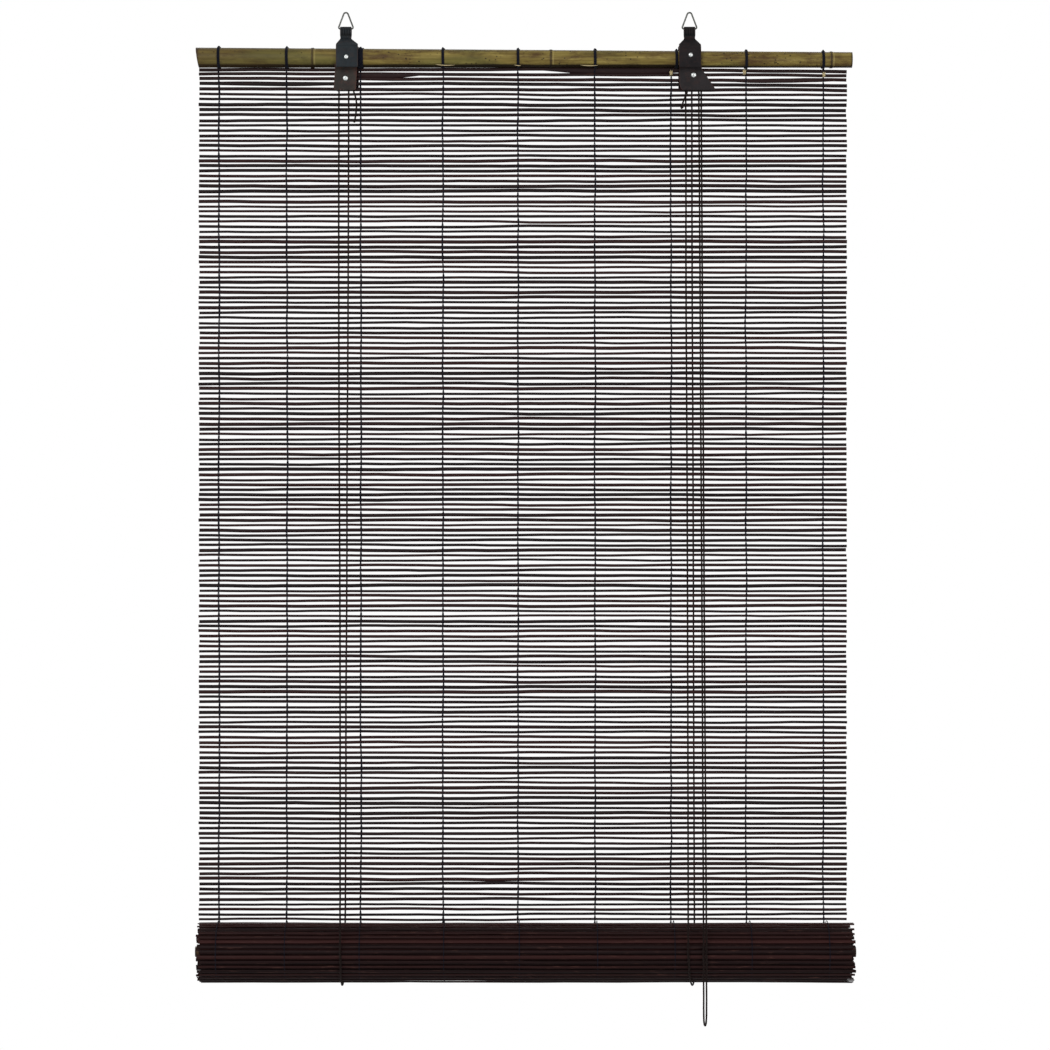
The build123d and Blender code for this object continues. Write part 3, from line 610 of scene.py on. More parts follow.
def reed_tree() -> RepeatTree:
    """Build the tree that turns points into split reeds, each with its own bends and ends.

    Returns:
        A tree whose points carry 'turn', the angle of each reed about the X axis, and 'swell', 'swell_at'
        and 'swell_reach': how much wider a reed is round a place along it.
    """
    t = RepeatTree("split_reeds")
    length, width, depth = t.size("Length"), t.size("Width"), t.size("Depth")
    bend, ragged, seed = t.size("Bend"), t.size("Ragged ends"), t.size("Seed", "Int")
    steps, surface = t.size("Steps", "Int"), t.size("Finish", "Material")
    index = t.add("GeometryNodeInputIndex").outputs[0]
    marked = t.store(t.entry.outputs["Geometry"], "serial", index)
    height = t.add("ShaderNodeSeparateXYZ", {0: t.add("GeometryNodeInputPosition").outputs[0]}).outputs["Z"]
    marked = t.store(marked, "middle", height)
    line = t.add("GeometryNodeCurvePrimitiveLine", {"Start": (0, 0, 0), "End": t.vector(length)}).outputs["Curve"]
    line = t.add("GeometryNodeResampleCurve", {"Curve": line, "Count": steps}).outputs["Curve"]
    line = t.add("GeometryNodeSetCurveNormal", {"Curve": line}, mode="Z_UP").outputs["Curve"]
    ring = t.add("GeometryNodeCurvePrimitiveCircle", {"Resolution": 8, "Radius": 1.0}, mode="RADIUS").outputs["Curve"]
    tube = t.add("GeometryNodeCurveToMesh", {"Curve": line, "Profile Curve": ring, "Fill Caps": True}).outputs["Mesh"]
    tube = t.add("GeometryNodeTransform", {
        "Geometry": tube, "Scale": t.vector(1.0, t.math("MULTIPLY", depth, 0.5), t.math("MULTIPLY", width, 0.5))
    }).outputs["Geometry"]
    # the split face behind is flatter than the skin in front
    where = t.add("GeometryNodeInputPosition").outputs[0]
    split = t.add("ShaderNodeSeparateXYZ", {0: where})
    back = t.math("MAXIMUM", split.outputs["Y"], 0.0)
    tube = t.add("GeometryNodeSetPosition", {
        "Geometry": tube, "Offset": t.vector(0.0, t.math("MULTIPLY", back, -0.4), 0.0)}).outputs["Geometry"]
    turn = t.read("turn")
    thick = t.random(0.8, 1.22, index, 3)
    laid = t.add("GeometryNodeInstanceOnPoints", {
        "Points": marked, "Instance": tube, "Rotation": t.vector(turn), "Scale": t.vector(1.0, thick, thick)
    }).outputs["Instances"]
    solid = t.add("GeometryNodeRealizeInstances", {"Geometry": laid}).outputs["Geometry"]
    which = t.math("ROUND", t.read("serial"))
    spot = t.add("ShaderNodeSeparateXYZ", {0: t.add("GeometryNodeInputPosition").outputs[0]})
    here = spot.outputs["X"]
    away = t.math("DIVIDE", t.math("ABSOLUTE", t.math("SUBTRACT", here, t.read("swell_at"))), t.read("swell_reach"))
    wider = t.math("MULTIPLY", t.math("MAXIMUM", t.math("SUBTRACT", 1.0, t.math("POWER", away, 3.0)), 0.0),
                   t.read("swell"))
    # a broad place reaches down from the reed's upper edge
    edge = t.math("MULTIPLY_ADD", width, 0.5, t.read("middle"))
    fuller = t.math("MULTIPLY", t.math("SUBTRACT", spot.outputs["Z"], edge), wider)
    settled = t.math("ADD", fuller, t.settle(here, t.read("middle")))
    across = t.math("MULTIPLY", which, 7.31)
    offsets = []
    for cells, amount in ((7.0, 1.0), (26.0, 0.45)):
        wave = t.add("ShaderNodeTexNoise", {
            "Vector": t.vector(t.math("MULTIPLY", here, cells), across, t.math("MULTIPLY", seed, 1.7)),
            "Scale": 1.0, "Detail": 1.0}, noise_dimensions="3D").outputs["Color"]
        centred = t.add("ShaderNodeVectorMath", {0: wave, 1: (0.5, 0.5, 0.5)}, operation="SUBTRACT").outputs[0]
        offsets.append(t.add("ShaderNodeVectorMath", {0: centred, "Scale": t.math("MULTIPLY", bend, amount)},
                             operation="SCALE").outputs[0])
    both = t.add("ShaderNodeSeparateXYZ", {
        0: t.add("ShaderNodeVectorMath", {0: offsets[0], 1: offsets[1]}, operation="ADD").outputs[0]})
    left_cut = t.math("MULTIPLY", t.random(0.0, 1.0, which, 11), ragged)
    right_cut = t.math("MULTIPLY", t.random(0.0, 1.0, which, 17), ragged)
    first = t.size("Left end")
    share = t.math("DIVIDE", t.math("SUBTRACT", here, first), length)
    slide = t.math("SUBTRACT", t.math("MULTIPLY", left_cut, t.math("SUBTRACT", 1.0, share)),
                   t.math("MULTIPLY", right_cut, share))
    shifted = t.add("GeometryNodeSetPosition", {
        "Geometry": solid,
        "Offset": t.vector(slide, t.math("MULTIPLY", both.outputs["Y"], 0.5),
                           t.math("ADD", both.outputs["Z"], settled))}).outputs["Geometry"]
    t.end(t.store(shifted, "reed", t.random(0.0, 1.0, which, 29)), surface)
    return t


def strand_tree() -> RepeatTree:
    """Build the tree that hangs a pair of threads at each point, crossing between the reeds.

    Returns:
        A tree whose points carry 'phase', which says whether a thread starts in front or behind.
    """
    t = RepeatTree("warp_strands")
    pitch, count, reach = t.size("Pitch"), t.size("Reeds", "Int"), t.size("Reach")
    radius, wander, surface = t.size("Radius"), t.size("Wander"), t.size("Finish", "Material")
    per_reed = 4
    dots = t.math("ADD", t.math("MULTIPLY", count, per_reed), 1.0)
    line = t.add("GeometryNodeMeshLine", {
        "Count": dots, "Start Location": (0, 0, 0),
        "Offset": t.vector(0.0, 0.0, t.math("DIVIDE", pitch, -float(per_reed)))},
        mode="OFFSET").outputs["Mesh"]
    line = t.add("GeometryNodeMeshToCurve", {"Mesh": line}).outputs["Curve"]
    ring = t.add("GeometryNodeCurvePrimitiveCircle", {"Resolution": 4, "Radius": radius}, mode="RADIUS").outputs["Curve"]
    laid = t.add("GeometryNodeInstanceOnPoints", {
        "Points": t.entry.outputs["Geometry"], "Instance": line}).outputs["Instances"]
    solid = t.add("GeometryNodeRealizeInstances", {"Geometry": laid}).outputs["Geometry"]
    phase = t.read("phase")
    top = t.size("Top")
    here = t.add("ShaderNodeSeparateXYZ", {0: t.add("GeometryNodeInputPosition").outputs[0]})
    down = t.math("DIVIDE", t.math("SUBTRACT", top, here.outputs["Z"]), pitch)
    # half a turn for each reed: over one reed, under the next
    swing = t.math("COSINE", t.math("MULTIPLY", t.math("ADD", down, phase), math.pi))
    drift = t.add("ShaderNodeTexNoise", {
        "Vector": t.vector(t.math("MULTIPLY", here.outputs["X"], 31.0), 0.0, t.math("MULTIPLY", here.outputs["Z"], 22.0)),
        "Scale": 1.0, "Detail": 2.0}).outputs["Fac"]
    aside = t.math("ADD", t.math("MULTIPLY", t.math("SUBTRACT", drift, 0.5), wander),
                   t.math("MULTIPLY", t.math("SINE", t.math("MULTIPLY", t.math("ADD", down, phase), math.pi)), radius))
    settled = t.settle(here.outputs["X"], here.outputs["Z"])
    moved = t.add("GeometryNodeSetPosition", {
        "Geometry": solid, "Offset": t.vector(aside, t.math("MULTIPLY", swing, reach), settled)}).outputs["Geometry"]
    tube = t.add("GeometryNodeCurveToMesh", {"Curve": moved, "Profile Curve": ring, "Fill Caps": True}).outputs["Mesh"]
    t.end(tube, surface)
    return t


def wrap_tree() -> RepeatTree:
    """Build the tree that winds a thread round the X axis at each point.

    Returns:
        A tree whose points carry 'outer' and 'inner', the radii where the winding starts and ends, 'turns'
        and 'first', the angle where it starts.
    """
    t = RepeatTree("wound_threads")
    pitch, radius = t.size("Pitch"), t.size("Radius")
    surface, total = t.size("Finish", "Material"), t.size("Steps", "Int")
    turns = t.read("turns")
    line = t.add("GeometryNodeMeshLine", {
        "Count": t.math("ADD", total, 1.0), "Start Location": (0, 0, 0), "Offset": (0, 0, 0)},
        mode="OFFSET").outputs["Mesh"]
    step = t.add("GeometryNodeInputIndex").outputs[0]
    line = t.store(line, "way", t.math("DIVIDE", step, total))
    line = t.add("GeometryNodeMeshToCurve", {"Mesh": line}).outputs["Curve"]
    laid = t.add("GeometryNodeInstanceOnPoints", {
        "Points": t.entry.outputs["Geometry"], "Instance": line}).outputs["Instances"]
    solid = t.add("GeometryNodeRealizeInstances", {"Geometry": laid}).outputs["Geometry"]
    read = {key: t.read(key) for key in ("way", "outer", "inner", "first")}
    angle = t.math("ADD", t.math("MULTIPLY", t.math("MULTIPLY", read["way"], turns), 2 * math.pi), read["first"])
    reach = t.math("ADD", read["outer"], t.math("MULTIPLY", read["way"], t.math("SUBTRACT", read["inner"], read["outer"])))
    aside = t.math("MULTIPLY", t.math("SUBTRACT", t.math("MULTIPLY", read["way"], turns), t.math("MULTIPLY", turns, 0.5)),
                   pitch)
    moved = t.add("GeometryNodeSetPosition", {
        "Geometry": solid, "Offset": t.vector(aside, t.math("MULTIPLY", t.math("COSINE", angle), reach),
                                              t.math("MULTIPLY", t.math("SINE", angle), reach))}).outputs["Geometry"]
    ring = t.add("GeometryNodeCurvePrimitiveCircle", {"Resolution": 5, "Radius": radius}, mode="RADIUS").outputs["Curve"]
    tube = t.add("GeometryNodeCurveToMesh", {"Curve": moved, "Profile Curve": ring, "Fill Caps": True}).outputs["Mesh"]
    t.end(tube, surface)
    return t


def run_attributes(count: int, swells: dict[int, tuple[float, float, float]]) -> dict[str, list[float]]:
    """Spread a few reeds' wider places over the attributes of all reeds.

    Args:
        count: how many reeds there are.
        swells: for a reed's number, how much wider it is, where and how far from there, in millimetres.

    Returns:
        The three attributes that the reed tree reads.
    """
    plain = (0.0, 0.0, 1000.0)
    rows = [swells.get(i, plain) for i in range(count)]
    return {"swell": [row[0] for row in rows], "swell_at": [row[1] * MM for row in rows],
            "swell_reach": [row[2] * MM for row in rows]}


@dataclass
class ReedMat:
    """The hanging mat: split reeds and the nine pairs of threads that hold them."""

    left: float = -295.3
    width: float = 600.0
    top: float = -51.1
    pitch: float = 4.676
    count: int = 174
    reed_width: float = 2.4
    # seen against the light a reed looks broader than its row in the CAD
    drawn_width: float = 2.75
    reed_depth: float = 1.5
    travel: float = 720.0
    threads: tuple[float, ...] = (-276.3, -213.4, -145.0, -69.1, 0.3, 71.5, 141.8, 211.2, 282.4)

    @property
    def hang(self) -> float:
        """Height of the hanging mat, in millimetres."""
        return self.pitch * (self.count - 1) + self.reed_width

    def shorten(self, piece: bpy.types.Object) -> None:
        """Hang a piece from the head and give it a mesh of its own."""
        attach(piece, Body.HEAD.value)
        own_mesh(piece)

    def build(self) -> None:
        """Make the reeds and the threads."""
        first = self.top - self.reed_width / 2
        points = [(self.left * MM, 0.0, (first - i * self.pitch) * MM) for i in range(self.count)]
        # the first reed lies close under the pole up to the right strap
        points[0] = (self.left * MM, 0.0, (first + 0.4) * MM)
        settled = {"Left rise": 2.2 * MM, "Right sag": 2.3 * MM, "Settled from": self.top * MM,
                   "Half length": self.width / 2 * MM}
        # the first reeds are broad in places, as in the photograph
        swells = {0: (0.95, 94.0, 66.0), 1: (0.9, -126.0, 30.0), 2: (0.35, 246.0, 44.0), 3: (0.3, -228.0, 50.0)}
        reeds = reed_tree().run("hanging_reeds", points, {
            "Length": self.width * MM, "Width": self.drawn_width * MM, "Depth": self.reed_depth * MM,
            "Bend": 2.6 * MM, "Ragged ends": 1.1 * MM, "Seed": 5, "Steps": 48,
            "Left end": self.left * MM, "Finish": material_of(SHADED_MAT_REED), **settled},
            {"turn": [0.0] * self.count, **run_attributes(self.count, swells)})
        self.shorten(reeds)
        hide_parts("reed_mat")
        LOG.info("hanging_reeds: %d reeds", self.count)
        places = [(x * MM, 0.0, self.top * MM) for x in self.threads for _ in (0, 1)]
        strands = strand_tree().run("warp_strands", places, {
            "Pitch": self.pitch * MM, "Reeds": self.count - 1, "Reach": 1.2 * MM, "Radius": 0.5 * MM,
            "Wander": 3.2 * MM, "Top": self.top * MM, "Finish": material_of(WARP), **settled},
            {"phase": [p for _ in self.threads for p in (0.5, 1.5)]})
        self.shorten(strands)
        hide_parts("warp_threads")
        LOG.info("warp_strands: %d threads", 2 * len(self.threads))

    def build_fibres(self) -> None:
        """Catch loose straw in the threads below the pole: single fibres, and three small tangles."""
        shape = bmesh.new()
        fibres = [((-76.0, -47.9), (-68.0, -49.6), (-58.0, -48.6), -6.4), ((-3.2, -48.4), (0.3, -49.6), (3.0, -49.0), -6.2),
                  ((58.0, -48.6), (66.0, -49.8), (74.0, -48.9), -6.2)]
        for x, z in ((141.6, -55.4), (209.4, -54.6), (282.8, -57.0)):
            for i in range(7):
                turn, reach = 2.4 * i, 1.5 + 0.3 * (i % 4)
                a, b = math.cos(turn) * reach, math.sin(turn) * reach * 1.3
                fibres.append(((x - a, z - b), (x + 0.6 * b, z - 0.4 * a), (x + a, z + b), -2.4 - 0.22 * i))
        for a, b, c, y in fibres:
            line = []
            for i in range(9):
                s = i / 8
                x, z = ((1 - s) ** 2 * p + 2 * s * (1 - s) * q + s * s * r for p, q, r in zip(a, b, c))
                line.append(Vector((x * MM, (y - 0.3 * math.sin(3 * s)) * MM, z * MM)))
            add_tube(shape, line, [0.42 * MM * math.sin(math.pi * (0.08 + 0.84 * i / 8)) for i in range(9)], 5)
        piece = piece_from(shape, "caught_straw", STRAW)
        self.shorten(piece)


@dataclass
class ReedRoll:
    """The rolled part of the mat, wound in a spiral round the bottom pole."""

    left: float = -292.7
    width: float = 600.0
    y: float = -30.6
    z: float = -863.448
    radius: float = 28.0
    core: float = 6.3
    turn_pitch: float = 3.0
    pitch: float = 4.676
    reed_width: float = 3.2
    threads: tuple[float, ...] = (-273.5, -211.0, -143.2, -66.6, 2.0, 73.0, 143.2, 213.0, 283.5)

    def spiral(self) -> tuple[list[Point], list[float]]:
        """Place the reeds along the winding.

        Returns:
            The left end of each reed, and each reed's angle about the X axis.
        """
        points, turns = [], []
        run = 0.0
        total = math.pi * (self.radius ** 2 - self.core ** 2) / self.turn_pitch
        while run < total:
            angle = 2 * math.pi / self.turn_pitch * (self.radius - math.sqrt(
                self.radius ** 2 - self.turn_pitch * run / math.pi))
            reach = self.radius - self.turn_pitch * angle / (2 * math.pi)
            points.append((self.left * MM, (self.y + reach * math.cos(angle)) * MM,
                           (self.z - reach * math.sin(angle)) * MM))
            turns.append(math.pi - angle)
            run += self.pitch
        return points, turns

    def build(self) -> None:
        """Make the rolled reeds and the threads that go round with them."""
        points, turns = self.spiral()
        reeds = reed_tree().run("rolled_reeds", points, {
            "Length": self.width * MM, "Width": self.reed_width * MM, "Depth": 1.5 * MM, "Bend": 1.5 * MM,
            "Ragged ends": 5.0 * MM, "Seed": 9, "Steps": 26, "Left end": self.left * MM, "Half length": 1.0,
            "Finish": material_of(ROLL_REED)}, {"turn": turns, **run_attributes(len(points), {})})
        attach(reeds, Body.ROLL.value)
        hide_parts("reed_roll")
        LOG.info("rolled_reeds: %d reeds", len(points))
        places = [(x * MM, self.y * MM, self.z * MM) for x in self.threads]
        many = len(places)
        wraps = wrap_tree().run("rolled_threads", places, {
            "Pitch": 0.12 * MM, "Radius": 0.36 * MM, "Steps": 260, "Finish": material_of(WARP)},
            {"outer": [(self.radius + 0.75) * MM] * many, "inner": [(self.core + 0.75) * MM] * many,
             "first": [0.0] * many, "turns": [(self.radius - self.core) / self.turn_pitch] * many})
        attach(wraps, Body.ROLL.value)
        LOG.info("rolled_threads: %d windings", many)


@dataclass
class HeadPole:
    """The head pole and the thread ties round it."""

    # each tie's place, and how many turns it has; two of them stand at a strap's edge
    ties: tuple[tuple[float, float], ...] = (
        (-276.3, 3.5), (-213.4, 3.5), (-145.3, 6.5), (-69.1, 3.5), (0.3, 3.5), (71.5, 3.5), (146.8, 3.5),
        (211.2, 3.5), (282.4, 3.5))
    tie_thread: float = 0.45

    def radius(self, x: float) -> float:
        """Radius of the pole at x, in millimetres."""
        return 0.5 * POLE_THICK + (x - POLE_LEFT) * POLE_CHANGE

    def build(self) -> None:
        """Dress the poles, wind the ties and knot them on top of the pole."""
        dress(frame["nodes"]["head_pole"], HEAD_CULM)
        dress(frame["nodes"]["bottom_pole"], ROD_CULM)
        places = [(x * MM, 0.0, (POLE_UNDERSIDE + self.radius(x)) * MM) for x, _ in self.ties]
        reach = [(self.radius(x) + self.tie_thread + 0.05) * MM for x, _ in self.ties]
        wraps = wrap_tree().run("pole_wraps", places, {
            "Pitch": 0.85 * MM, "Radius": self.tie_thread * MM, "Steps": 220, "Finish": material_of(WARP)},
            {"outer": reach, "inner": reach, "first": [-math.pi / 2] * len(places),
             "turns": [turns for _, turns in self.ties]})
        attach(wraps, Body.HEAD.value)
        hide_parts("pole_ties")
        shape = bmesh.new()
        for i, (x, _) in enumerate(self.ties):
            lift = POLE_UNDERSIDE + 2 * self.radius(x) + 0.75
            add_knot(shape, Vector((x, -1.2, lift)) * MM, 2.5 * MM, 0.45 * MM, 0.9 * i)
        knots = piece_from(shape, "pole_tie_knots", WARP)
        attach(knots, Body.HEAD.value)
        LOG.info("pole_wraps: %d ties", len(self.ties))


def folded_line(corners: Sequence[tuple[float, float]], radii: Sequence[float],
                step: float) -> list[tuple[float, float]]:
    """Follow a leather strip's folds: straight runs joined by arcs.

    Args:
        corners: (y, z) corners in millimetres.
        radii: one fold radius for each inner corner.
        step: the greatest distance between two points, in millimetres.

    Returns:
        Points on the line, close enough for a smooth strip.
    """
    spots = [Vector(c) for c in corners]
    line = [spots[0]]
    for before, here, after, radius in zip(spots, spots[1:], spots[2:], radii):
        a, b = (before - here).normalized(), (after - here).normalized()
        half = a.angle(b) / 2
        cut = radius / math.tan(half)
        centre = here + (a + b).normalized() * (radius / math.sin(half))
        start, stop = here + a * cut - centre, here + b * cut - centre
        turn = start.angle_signed(stop)
        pieces = max(2, math.ceil(abs(turn) * radius / step))
        for i in range(pieces + 1):
            spin = Matrix.Rotation(-turn * i / pieces, 2)
            line.append(centre + spin @ start)
    line.append(spots[-1])
    fine = [line[0]]
    for spot in line[1:]:
        gap = spot - fine[-1]
        if gap.length < 1e-4:
            continue
        pieces = max(1, math.ceil(gap.length / step))
        fine.extend([fine[-1] + gap * (i / pieces) for i in range(1, pieces + 1)])
    return [(p.x, p.y) for p in fine]


@dataclass
class LeatherStrip:
    """A flat strip of leather: its line from the side, and its two edges from the front."""

    name: str
    line: list[tuple[float, float]]
    edges: Callable[[float], tuple[float, float]]
    thickness: float = 1.1
    columns: int = 20
    crease: Callable[[float, float], float] = lambda x, z: 0.0
    # painted shade from 0 to 1 at each point, which darkens the leather's colour
    painted_shade: Callable[[float, float], float] = lambda x, z: 0.0

    def build(self, finish: Finish) -> bpy.types.Object:
        """Make the strip.

        Args:
            finish: the leather.

        Returns:
            The strip as an object at the origin.
        """
        grid = bmesh.new()
        edge_layer = grid.verts.layers.float.new("edge")
        painted_shade_layer = grid.verts.layers.float.new("painted_shade")
        rows: list[list[bmesh.types.BMVert]] = []
        for i, (y, z) in enumerate(self.line):
            before, after = self.line[max(i - 1, 0)], self.line[min(i + 1, len(self.line) - 1)]
            run = Vector((after[0] - before[0], after[1] - before[1])).normalized()
            out = Vector((run.y, -run.x))
            low, high = self.edges(z)
            row = []
            for j in range(self.columns + 1):
                share = j / self.columns
                x = low + (high - low) * share
                push = self.crease(x, z)
                vert = grid.verts.new((x * MM, (y + out.x * push) * MM, (z + out.y * push) * MM))
                vert[edge_layer] = max(0.0, 1 - min(j, self.columns - j) * (high - low) / self.columns / 0.8)
                vert[painted_shade_layer] = self.painted_shade(x, z)
                row.append(vert)
            rows.append(row)
        for upper, lower in zip(rows, rows[1:]):
            for j in range(self.columns):
                grid.faces.new((upper[j], upper[j + 1], lower[j + 1], lower[j]))
        bmesh.ops.recalc_face_normals(grid, faces=grid.faces)
        mesh = bpy.data.meshes.new(self.name)
        grid.to_mesh(mesh)
        grid.free()
        source = mesh_object(self.name + "_flat", mesh)
        thick = source.modifiers.new("hide", "SOLIDIFY")
        thick.thickness = (self.thickness - 0.06) * MM
        thick.offset = 0.0
        round_off = source.modifiers.new("edges", "BEVEL")
        round_off.width = 0.28 * MM
        round_off.segments = 2
        round_off.limit_method = "ANGLE"
        round_off.angle_limit = math.radians(60)
        done = frozen_mesh(source)
        bpy.data.objects.remove(source)
        for polygon in done.polygons:
            polygon.use_smooth = True
        piece = mesh_object(self.name, done)
        dress(piece, finish)
        return piece


@dataclass
class Hanger:
    """One strap with its ring and the flap that covers the cords."""

    side: Side
    x: float
    shift: float
    upper_rivet: tuple[float, float]
    lower_rivet: tuple[float, float]
    pole: HeadPole
    strap_width: float = 20.3
    neck_width: float = 10.2
    leather: float = 1.1
    bar_z: float = -14.15
    wire_r: float = 0.75
    neck_foot: float = -22.6
    shoulders: tuple[float, float] = (-24.2, -30.2)
    strap_foot: float = -51.1
    flap_foot: float = -71.4
    lane: tuple[float, float] = (-2.5, -52.4)

    @property
    def leg(self) -> float:
        """How far the strap's legs stand from the pole's axis."""
        return self.pole.radius(self.x) + 2.8 + self.leather / 2

    @property
    def axis_z(self) -> float:
        """Height of the pole's axis at the strap."""
        return POLE_UNDERSIDE + self.pole.radius(self.x)

    def strap_edges(self, z: float) -> tuple[float, float]:
        """Give the strap's left and right edge at a height."""
        half, neck = self.strap_width / 2, self.neck_width / 2
        share = ease(z, *self.shoulders)
        reach = neck + (half - neck) * share
        return self.x + self.shift * share - reach, self.x + self.shift * share + reach

    def neck_press(self, z: float) -> float:
        """Say how hard the neck is squeezed at a height: 1 below the ring, 0 from the shoulders down."""
        return ease(z, self.neck_foot + 0.6, self.neck_foot + 2.2) * ease(z, self.bar_z + 1.2, self.bar_z - 0.6)

    def rib(self, x: float) -> float:
        """Give 1 on the neck's upright ribs and -1 between them."""
        return math.cos((x - self.x) / self.neck_width * 9 * math.pi)

    def strap_painted_shade(self, x: float, z: float) -> float:
        """Say how much painted shade the neck gets: most between its ribs and in the band at its foot."""
        band = ease(z, -18.0, -19.2)
        return self.neck_press(z) * (0.45 - 0.32 * self.rib(x) * (1 - band) + 0.5 * band)

    def strap_crease(self, x: float, z: float) -> float:
        """Press the neck into upright ribs, buckle the front a little and dip it round the upper rivet."""
        ribs = 0.3 * self.neck_press(z) * self.rib(x)
        away = math.hypot(x - self.upper_rivet[0], z - self.upper_rivet[1])
        buckle = 0.1 * math.sin(0.42 * (x - self.x) + 0.23 * z) * ease(z, *self.shoulders)
        return ribs + buckle - 0.15 * math.exp(-(away / 3.4) ** 2)

    def build_strap(self) -> None:
        """Fold the strap over the ring and down both sides of the pole."""
        loop = self.wire_r + 0.1 + self.leather / 2
        neck = (0.1 + self.leather) / 2
        rear_foot = 3.3 + self.leather / 2
        leg_top = self.axis_z + 1.1 * self.pole.radius(self.x)
        loop_foot = self.bar_z - self.wire_r - self.leather / 2
        corners = [(rear_foot, self.flap_foot), (rear_foot, self.lane[1] - self.leather),
                   (self.leg, self.axis_z - 7.6), (self.leg, leg_top), (neck, self.neck_foot), (loop, loop_foot),
                   (loop, self.bar_z + loop), (-loop, self.bar_z + loop), (-loop, loop_foot),
                   (-neck, self.neck_foot), (-self.leg, leg_top), (-self.leg, self.strap_foot)]
        fold = 0.97 * loop
        radii = [2.0, 2.0, 2.0, 3.0, 2.0, fold, fold, 2.0, 3.0, 2.0]
        strip = LeatherStrip(f"{self.side.value}_strap_hide", folded_line(corners, radii, 0.9), self.strap_edges,
                             columns=36, crease=self.strap_crease, painted_shade=self.strap_painted_shade).build(STRAP_HIDES[self.side])
        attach(strip, Body.HEAD.value)
        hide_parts(f"{self.side.value}_strap")

    def flap_edges(self, z: float) -> tuple[float, float]:
        """Give the flap's left and right edge at a height, with rounded lower corners."""
        half, corner = self.strap_width / 2, 1.7
        if self.side is Side.LEFT:
            flare = ease(z, self.lane[1], self.flap_foot)
            low, high = self.x + 0.3 - half - 1.4 * flare, self.x + 0.3 + half - flare
        else:
            low = self.x + 0.5 - half + 1.8 * ease(z, self.flap_foot + 5.5, self.flap_foot)
            high = self.x + 0.5 + half + 13.8 * ease(z, self.strap_foot, self.flap_foot)
        rise = z - self.flap_foot
        if rise < corner:
            trim = corner - math.sqrt(max(corner ** 2 - (corner - rise) ** 2, 0.0))
            low, high = low + trim, high - trim
        return low, high

    def flap_crease(self, x: float, z: float) -> float:
        """Curl the flap's foot a little and dip it round its rivet."""
        away = math.hypot(x - self.lower_rivet[0], z - self.lower_rivet[1])
        curl = 0.12 * math.sin(0.35 * (x - self.x)) * ease(z, -60.0, self.flap_foot)
        return curl - 0.15 * math.exp(-(away / 3.6) ** 2)

    def build_flap(self) -> None:
        """Hang the flap in front of the cords, its top behind the strap's front leg."""
        reach = self.pole.radius(self.x) + 1.8
        dy, dz = -self.lane[0], self.axis_z - self.lane[1]
        # the cords' slanted run touches the circle that they follow round the pole
        heading = math.atan2(dz, dy) + math.asin(reach / math.hypot(dy, dz))
        lean = math.atan2(self.lane[0] + reach, math.tan(heading) * (-reach - self.lane[0]))
        off = 1.0 + self.leather / 2
        low = (self.lane[0] - off, self.lane[1] - off * math.tan(lean / 2))
        end = -(self.leg - self.leather / 2) + 0.1 + self.leather / 2 * math.cos(lean)
        corners = [(low[0], self.flap_foot), low, (end, low[1] + (low[0] - end) / math.tan(lean))]
        strip = LeatherStrip(f"{self.side.value}_flap_hide", folded_line(corners, [3.85], 0.45), self.flap_edges,
                             columns=28, crease=self.flap_crease).build(FLAP_HIDES[self.side])
        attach(strip, Body.HEAD.value)
        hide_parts(f"{self.side.value}_cord_flap")

    def build(self) -> None:
        """Make the leather pieces and dress the ring."""
        dress(frame["nodes"][f"{self.side.value}_ring"], RING_STEEL)
        self.build_strap()
        self.build_flap()
        LOG.info("%s hanger: strap and flap", self.side.value)


@dataclass
class RivetPair:
    """Two rivets of one kind: a dimpled dome in front, a shank, and a rounded washer behind."""

    name: str
    node: str
    head_r: float
    # for each rivet its x and z, and the distance of its front and rear head from y = 0
    places: tuple[tuple[float, float, float, float], ...]
    shank_r: float = 1.2
    dome: float = 1.0

    def build(self) -> None:
        """Turn both rivets in one mesh."""
        shape = bmesh.new()
        head = ((0.0, 0.62), (0.1, 0.64), (0.2, 0.78), (0.34, 0.97), (0.5, 1.0), (0.66, 0.94), (0.8, 0.78),
                (0.92, 0.5), (0.99, 0.2), (1.0, 0.06), (0.97, 0.0))
        washer = ((0.97, 0.0), (1.0, 0.1), (0.98, 0.34), (0.88, 0.46), (0.6, 0.5), (0.32, 0.47), (0.0, 0.4))
        for x, z, front, rear in self.places:
            profile = [(self.head_r * r, -(front + self.dome * y)) for r, y in head]
            profile += [(self.shank_r, -front), (self.shank_r, rear)]
            profile += [(self.head_r * r, rear + y) for r, y in washer]
            add_lathe(shape, [(r * MM, y * MM) for r, y in profile], (x * MM, 0.0, z * MM), 28)
        piece = piece_from(shape, self.name, RIVET_NICKEL)
        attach(piece, Body.HEAD.value)
        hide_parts(self.node)
        LOG.info("%s: %d rivets", self.name, len(self.places))


